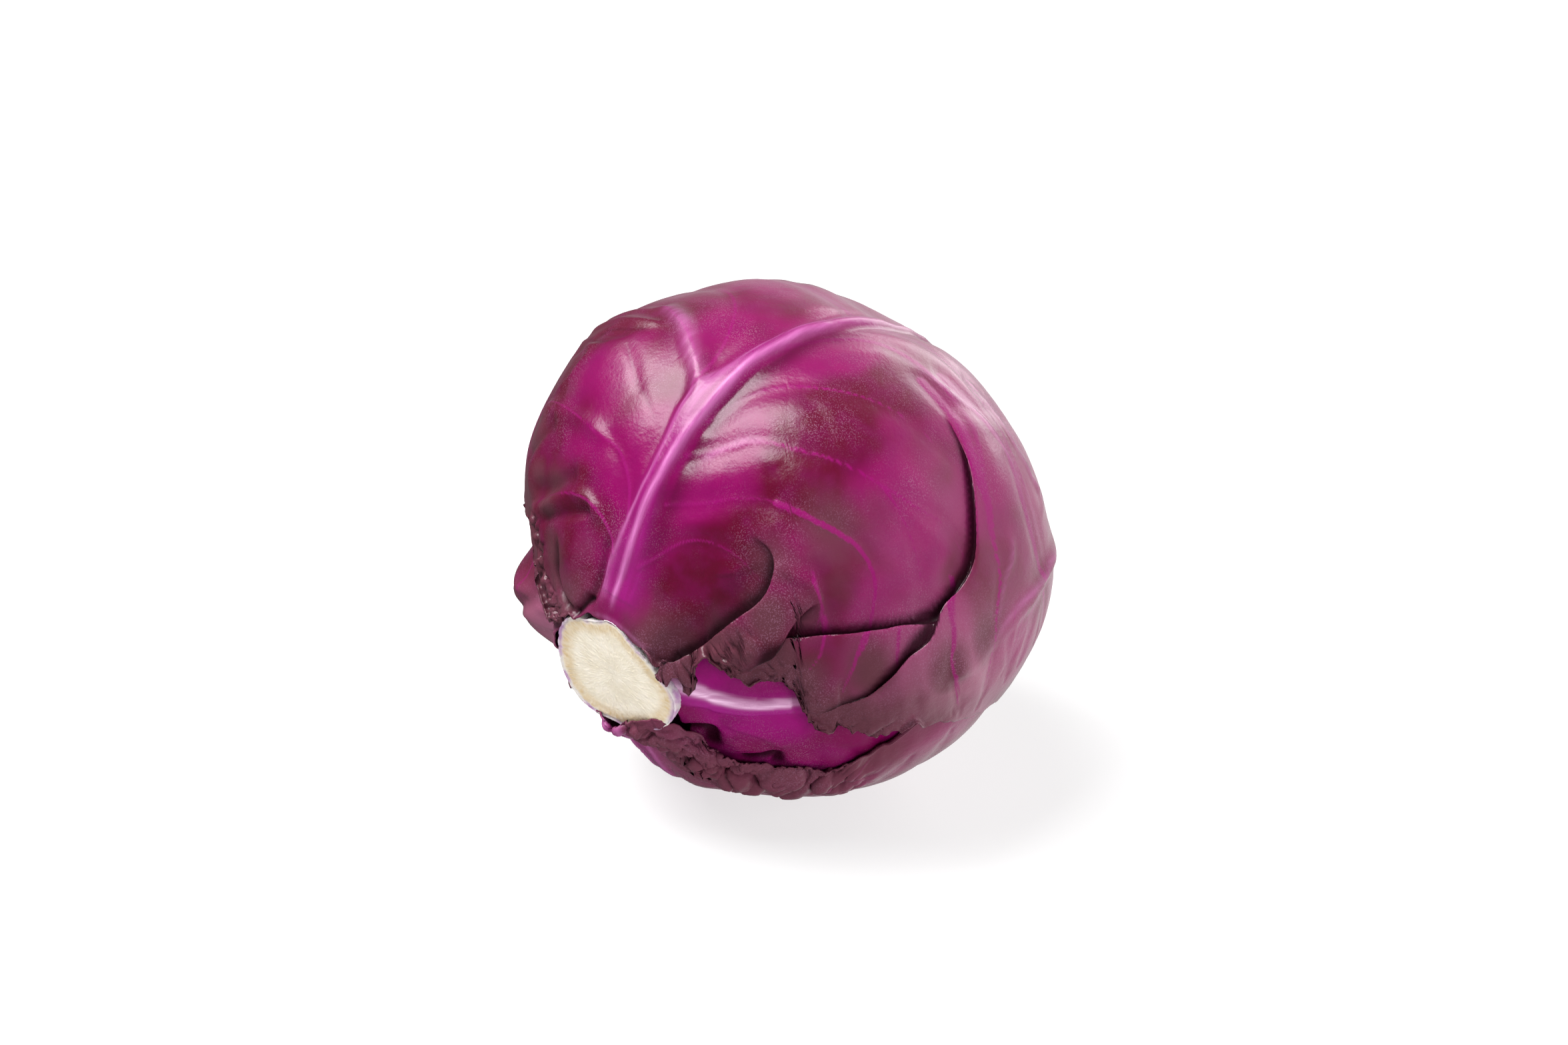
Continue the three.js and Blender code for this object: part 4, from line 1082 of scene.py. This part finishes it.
frontLeaf = {
    "node": "wrapper_leaf_front", "slot": "young_leaf", "layer": 2, "turn": 90, "cells": 190, "seed": 7,
    # its midrib's crest is painted near white: a painted highlight along the rib
    "lean": 0.2, "flare": 4.8, "look": dict(
        darkMagenta, specular=0.16, magenta=(0.225, 0.0015, 0.118), crimson=(0.122, 0.0015, 0.042),
        rib=(0.27, 0.012, 0.18), crest=(0.84, 0.57, 0.77)),
    "crestAt": -0.42, "crestWidth": 0.30,
    "midrib": [
        (-84, -1), (-74, 0.2), (-68, 3.4), (-65, 5.8), (-58, 6.4), (-52, 6.1), (-46, 5.9), (0, 6), (90, 6),
    ],
    "ribHeight": [(-84, 0.4), (-76, 0.8), (-72, 1.7), (-62, 2.1), (-48, 1.9), (-34, 0.6), (90, 0.1)],
    "ribWidth": [(-84, 8), (-74, 7.8), (-65, 6.4), (-58, 5.0), (-52, 4.5), (-46, 4.1), (60, 3), (90, 3)],
    "reach": [
        (-180, 74.5), (-168, 75.5), (-155, 77), (-135, 78), (-90, 76), (-30, 80), (0, 86), (30, 86),
        (90, 82), (135, 80), (155, 77), (168, 75.5), (180, 74.5),
    ],
    "pits": [
        ([(-76, 20), (-70, 20), (-67.5, 22), (-66.5, 28)], 3.4, 2.2),
        ([(-57, 32), (-53, 30), (-50.5, 28), (-49.5, 32)], 2.4, 1.8),
    ],
    "strokes": [
        ([(-66, 14), (-58, 16), (-52, 19), (-48, 25)], 3.0, 1.2),
        ([(-62, 22), (-58, 28)], 3.4, 0.9),
    ],
    "veinRule": {
        "right": (-50, 60), "left": (-40, 60), "pitch": 16, "length": 60, "strength": 0.5, "seed": 47},
}

sideLeaf = {
    "node": "wrapper_leaf_side", "slot": "young_leaf", "layer": 3, "turn": -88, "cells": 160, "seed": 9,
    "lean": 0.2, "flare": 9.6,
    "look": dict(darkMagenta, magenta=(0.10, 0.002, 0.040), ribShow=0.0, crestShow=0.0),
    "midrib": [(-72, 1), (0, -2), (80, -4)],
    "ribHeight": [(-72, 3), (-40, 2.4), (-20, 0.2), (80, 0.1)],
    "ribWidth": [(-72, 6), (0, 4.4), (60, 3)],
    "reach": [
        (-180, 71), (-168, 74), (-155, 77), (-135, 80), (-90, 82), (-30, 85), (0, 87), (30, 85), (90, 82),
        (135, 80), (155, 77), (168, 74), (180, 71),
    ],
    "lifts": [(-52, -4, 14, 11.2)],
    "strokes": [
        ([(-48, -8), (-55, 1), (-62, 8), (-69, 16)], 3.2, -2.4, 0.3),
        ([(-60, -12), (-66, -6), (-72, 2)], 3.0, 0.9),
    ],
    "veinRule": {
        "right": (-50, 60), "left": (-50, 60), "pitch": 15, "length": 60, "strength": 0.6, "seed": 53},
    "maroon": [(-58, 18, 9, 0.8)], "dusty": [(-64, -6, 12, 0.9)],
}

makeLeaf("top_leaf", topLeaf)
makeLeaf("under_leaf", underLeaf)
makeLeaf("front_leaf", frontLeaf)
makeLeaf("side_leaf", sideLeaf)


# the cut stem
stemForm = {
    # up to the cut: distance from the head's middle, and radius
    "profile": [(44, 14.4), (52, 15.8), (60, 17.2), (65, 18.3), (68.5, 19.5), (70.4, 20.0), (71, 19.8)],
    # its section: waves round it, their share of the radius, and the turn of a crest
    "outline": [
        (1, 0.085, -131), (2, 0.086, 85), (3, 0.058, -11), (4, 0.023, 17), (5, 0.033, 16), (6, 0.012, 7),
        (7, 0.007, 10), (8, 0.013, 3), (9, 0.008, 12),
    ],
    "flutes": [(4.0, 0.22, 91), (1.6, 0.12, 92)],  # size in degrees, height and seed
    "cutDistance": 71.0, "cutDrop": 0.15, "tipRise": 0.1, "dome": 0.30, "edgeRound": 0.35,
    "fibreHeight": 0.22, "fibreSize": 1.5, "fibreTurn": 1.2,  # mm, degrees, and how fast they change inward
    "grain": 0.06, "grainSize": 0.9,
    # shares of the way out to the rim, each from and to
    "fringe": (0.68, 0.86), "fringeEnd": (0.9, 0.99), "domeEdge": (0.0, 0.9), "roundEdge": (0.93, 1.0),
    "skinEdge": (0.9, 1.0), "fringeWander": 0.05, "wanderSize": 3.0,
    "sides": 360, "sideRings": 16, "faceRings": 44, "faceFrom": 0.985, "faceTo": 0.03,
    "look": {
        "pith": (0.700, 0.640, 0.535), "pithDeep": (0.640, 0.575, 0.455), "ring": (0.530, 0.385, 0.200),
        "rim": (0.620, 0.580, 0.560), "tinge": (0.40, 0.21, 0.40),
        "ringInner": (0.66, 0.88), "ringOuter": (0.9, 0.97), "rimFrom": 0.93,  # shares of the way out
        "evenRing": 0.35,  # the rest of the ring is fibres
        "pithScale": 240.0, "pithPatches": (0.3, 0.7), "tingeScale": 130.0, "tingePatches": (0.42, 0.62),
        "roughness": 0.5, "roughScale": 300.0, "roughSpread": 0.2,
        "glow": 0.12, "glowReach": (1.0, 0.8, 0.5), "glowDepth": 0.0015,  # light inside the flesh
        "grainScale": 1500.0, "fibreGrain": 0.6, "bump": 0.45, "bumpHeight": 0.0005,
    },
}


def makeStem(form):
    count = form["sides"]
    turns = np.arange(count) / count * 2 * math.pi
    degrees = turns / rad
    across = np.cos(turns)[:, None] * upWay + np.sin(turns)[:, None] * sideWay
    outline, flutes = np.ones(count), np.zeros(count)
    for waves, amount, crest in form["outline"]:
        outline += amount * np.cos(waves * (turns - crest * rad))
    for size, height, seed in form["flutes"]:
        flutes += height * softNoise(degrees, 0 * degrees, size, seed)
    rings, painted = [], {"share": [], "fibre": [], "skin": []}

    def addRing(distance, radii, *shades):
        out = np.broadcast_to(distance, turns.shape)[:, None] * stemWay
        rings.append(middle + out + radii[:, None] * across)
        for values, shade in zip(painted.values(), shades):
            values.append(np.broadcast_to(shade, turns.shape))

    distances, radii = np.array(form["profile"]).T
    corners = np.linspace(0, 1, len(distances))
    for distance in np.interp(np.linspace(0, 1, form["sideRings"]), corners, distances):
        addRing(distance, np.interp(distance, distances, radii) * outline + flutes, 1, 0, 1)
    for share in np.linspace(form["faceFrom"], form["faceTo"], form["faceRings"]):
        reach = (radii[-1] * outline + flutes) * share
        inward = np.full(turns.shape, reach.mean() * form["fibreTurn"])
        rays = 0.5 + 0.5 * softNoise(degrees, inward, form["fibreSize"], 95)
        wander = form["fringeWander"] * softNoise(degrees, 0 * degrees, form["wanderSize"], 97)
        fringe = smooth(*form["fringe"], share + wander)
        height = form["dome"] * (1 - smooth(*form["domeEdge"], share))
        height = height - form["edgeRound"] * smooth(*form["roundEdge"], share)
        fading = 1 - smooth(*form["fringeEnd"], share)
        height = height + form["fibreHeight"] * fringe * (rays - 0.5) * fading
        grain = softNoise(reach * np.cos(turns), reach * np.sin(turns), form["grainSize"], 99)
        cut = form["cutDistance"] - form["cutDrop"] + height + form["grain"] * grain
        addRing(cut, reach, share, np.clip(rays, 0, 1), smooth(*form["skinEdge"], share))
    ends = [middle + distance * stemWay for distance in (distances[0], form["cutDistance"] + form["tipRise"])]
    index = np.arange(len(rings) * count).reshape(-1, count)
    after = np.roll(index, -1, axis=1)
    faces = np.stack([index[:-1], after[:-1], after[1:], index[1:]], axis=-1).reshape(-1, 4).tolist()
    faces += [(index.size, b, a) for a, b in zip(index[0].tolist(), after[0].tolist())]
    faces += [(index.size + 1, a, b) for a, b in zip(index[-1].tolist(), after[-1].tolist())]
    piece = meshPiece("stem_cut", np.vstack(rings + ends), faces)
    for (name, values), centre in zip(painted.items(), (0, 0.5, 0)):
        paint(piece, name, np.concatenate(values + [[1.0, centre]]))
    piece.data.materials.append(stemFinish(form["look"]))
    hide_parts("cut_stem")
    print("stem_cut", len(faces), "faces")


makeStem(stemForm)

# the inner head shows only in slits between the leaves
innerLook = dict(darkMagenta, magenta=(0.30, 0.02, 0.24), roughness=0.42)
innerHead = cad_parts["inner_head"]
innerHead.data.materials.clear()
innerHead.data.materials.append(leafFinish("inner_head", innerLook))
innerHead.data.shade_smooth()
print("inner head coloured")

# stage, in metres; ways are given in the camera's own right, up and back
stage = {
    "floor": (0.32, 0.32, 0.32), "floorGlow": 0.66, "floorRadius": 4.0, "floorSides": 64,
    "floorWorn": 0.985, "floorPatches": 6.0, "floorRoughness": 0.9, "floorSpecular": 0.1,
    "skyTint": (1.0, 0.99, 0.985), "skyDark": 0.11, "skyBright": 1.1, "skyWay": (0.87, 0.12, -0.48),
    "skyFrom": 0.20, "skyTo": 0.85,
    "viewAzimuth": 41.3, "viewElevation": 27.0, "lens": 79.97, "sensor": 36.0, "viewEnd": 20.0,
    "viewFrom": (0.00077, 0.00517, 1.0),  # from the head's middle
}


def viewWays(azimuth, elevation):
    a, e = azimuth * rad, elevation * rad
    right = np.array([math.cos(a), math.sin(a), 0.0])
    back = np.array([math.sin(a) * math.cos(e), -math.cos(a) * math.cos(e), math.sin(e)])
    return np.array([right, np.cross(back, right), back])


cameraWays = viewWays(stage["viewAzimuth"], stage["viewElevation"])


def addFloor(setting):
    kit = nodeKit("paper_floor")
    worn = tuple(setting["floorWorn"] * c for c in setting["floor"])
    patches = kit.noise(setting["floorPatches"], 3.0)
    kit.fill(kit.sockets["Base Color"], kit.mixed(patches, setting["floor"], worn))
    kit.sockets["Roughness"].default_value = setting["floorRoughness"]
    kit.sockets["Specular IOR Level"].default_value = setting["floorSpecular"]
    kit.sockets["Emission Color"].default_value = (1.0, 1.0, 1.0, 1.0)
    kit.sockets["Emission Strength"].default_value = setting["floorGlow"]
    count, radius = setting["floorSides"], setting["floorRadius"]
    turns = np.arange(count) / count * 2 * math.pi
    points = [(0, 0, 0)] + [(math.cos(t) * radius, math.sin(t) * radius, 0) for t in turns]
    mesh = bpy.data.meshes.new("floor")
    mesh.from_pydata(points, [], [(0, k + 1, (k + 1) % count + 1) for k in range(count)])
    floor = bpy.data.objects.new("floor", mesh)
    bpy.context.scene.collection.objects.link(floor)
    mesh.materials.append(kit.material)
    floor.visible_glossy = False  # dim paper under the leaves, as a polarised lens leaves it


def addSky(setting):
    # white paper stands behind and to the right, and the other side of the room is dim
    world = bpy.data.worlds.new("studio")
    bpy.context.scene.world = world
    world.use_nodes = True
    nodes, link = world.node_tree.nodes, world.node_tree.links.new
    backdrop = nodes["Background"]
    backdrop.inputs["Color"].default_value = (*setting["skyTint"], 1.0)
    facing = nodes.new("ShaderNodeVectorMath")
    facing.operation = "DOT_PRODUCT"
    facing.inputs[1].default_value = setting["skyWay"] @ cameraWays
    fit = nodes.new("ShaderNodeMapRange")
    fit.interpolation_type = "SMOOTHSTEP"
    limits = {"From Min": "skyFrom", "From Max": "skyTo", "To Min": "skyDark", "To Max": "skyBright"}
    for socket, key in limits.items():
        fit.inputs[socket].default_value = setting[key]
    link(nodes.new("ShaderNodeTexCoord").outputs["Generated"], facing.inputs[0])
    link(facing.outputs["Value"], fit.inputs["Value"])
    link(fit.outputs["Result"], backdrop.inputs["Strength"])


def placed(thing, ways, position):
    rows = [[*row, place] for row, place in zip(np.transpose(ways), position)]
    thing.matrix_world = Matrix(rows + [[0, 0, 0, 1]])
    bpy.context.scene.collection.objects.link(thing)
    return thing


def addCamera(setting):
    data = bpy.data.cameras.new("camera")
    data.lens, data.sensor_width = setting["lens"], setting["sensor"]
    data.clip_end = setting["viewEnd"]
    position = middle * metre + setting["viewFrom"] @ cameraWays
    bpy.context.scene.camera = placed(bpy.data.objects.new("camera", data), cameraWays, position)


# softboxes: metres and watts
lamps = {
    "key_softbox": {"way": (-0.45, 0.76, 0.49), "distance": 1.1, "size": (0.98, 0.72), "power": 30.5},
    "back_softbox": {"way": (0.52, 0.65, -0.56), "distance": 1.6, "size": (0.95, 1.0), "power": 10.0},
    # the fills are crossed with a polarised lens, so they light the pigments and leave no glare
    "front_fill": {
        "way": (0.40, -0.16, 0.90), "distance": 1.5, "size": (0.7, 0.5), "power": 13.0, "glossy": False},
    "right_fill": {
        "way": (0.95, 0.12, 0.22), "distance": 1.5, "size": (0.7, 0.5), "power": 8.4, "glossy": False},
    # the key's white surround, seen only as the soft edge of each gleam
    "key_surround": {
        "way": (-0.50, 0.84, 0.42), "distance": 1.15, "size": (1.3, 1.0), "power": 12.5, "diffuse": False},
}


def addSoftbox(name, lamp):
    way = lamp["way"] @ cameraWays
    way /= np.linalg.norm(way)
    side = np.cross(cameraWays[1], way)
    side /= np.linalg.norm(side)
    data = bpy.data.lights.new(name, "AREA")
    data.shape = "RECTANGLE"
    data.size, data.size_y = lamp["size"]
    data.energy = lamp["power"]
    ways = (side, np.cross(way, side), way)
    box = placed(bpy.data.objects.new(name, data), ways, middle * metre + way * lamp["distance"])
    box.visible_glossy = lamp.get("glossy", True)
    box.visible_diffuse = lamp.get("diffuse", True)


addFloor(stage)
addSky(stage)
addCamera(stage)
for name, lamp in lamps.items():
    addSoftbox(name, lamp)
bpy.context.scene.view_settings.view_transform = "Standard"
print("floor, sky, camera and lamps placed")
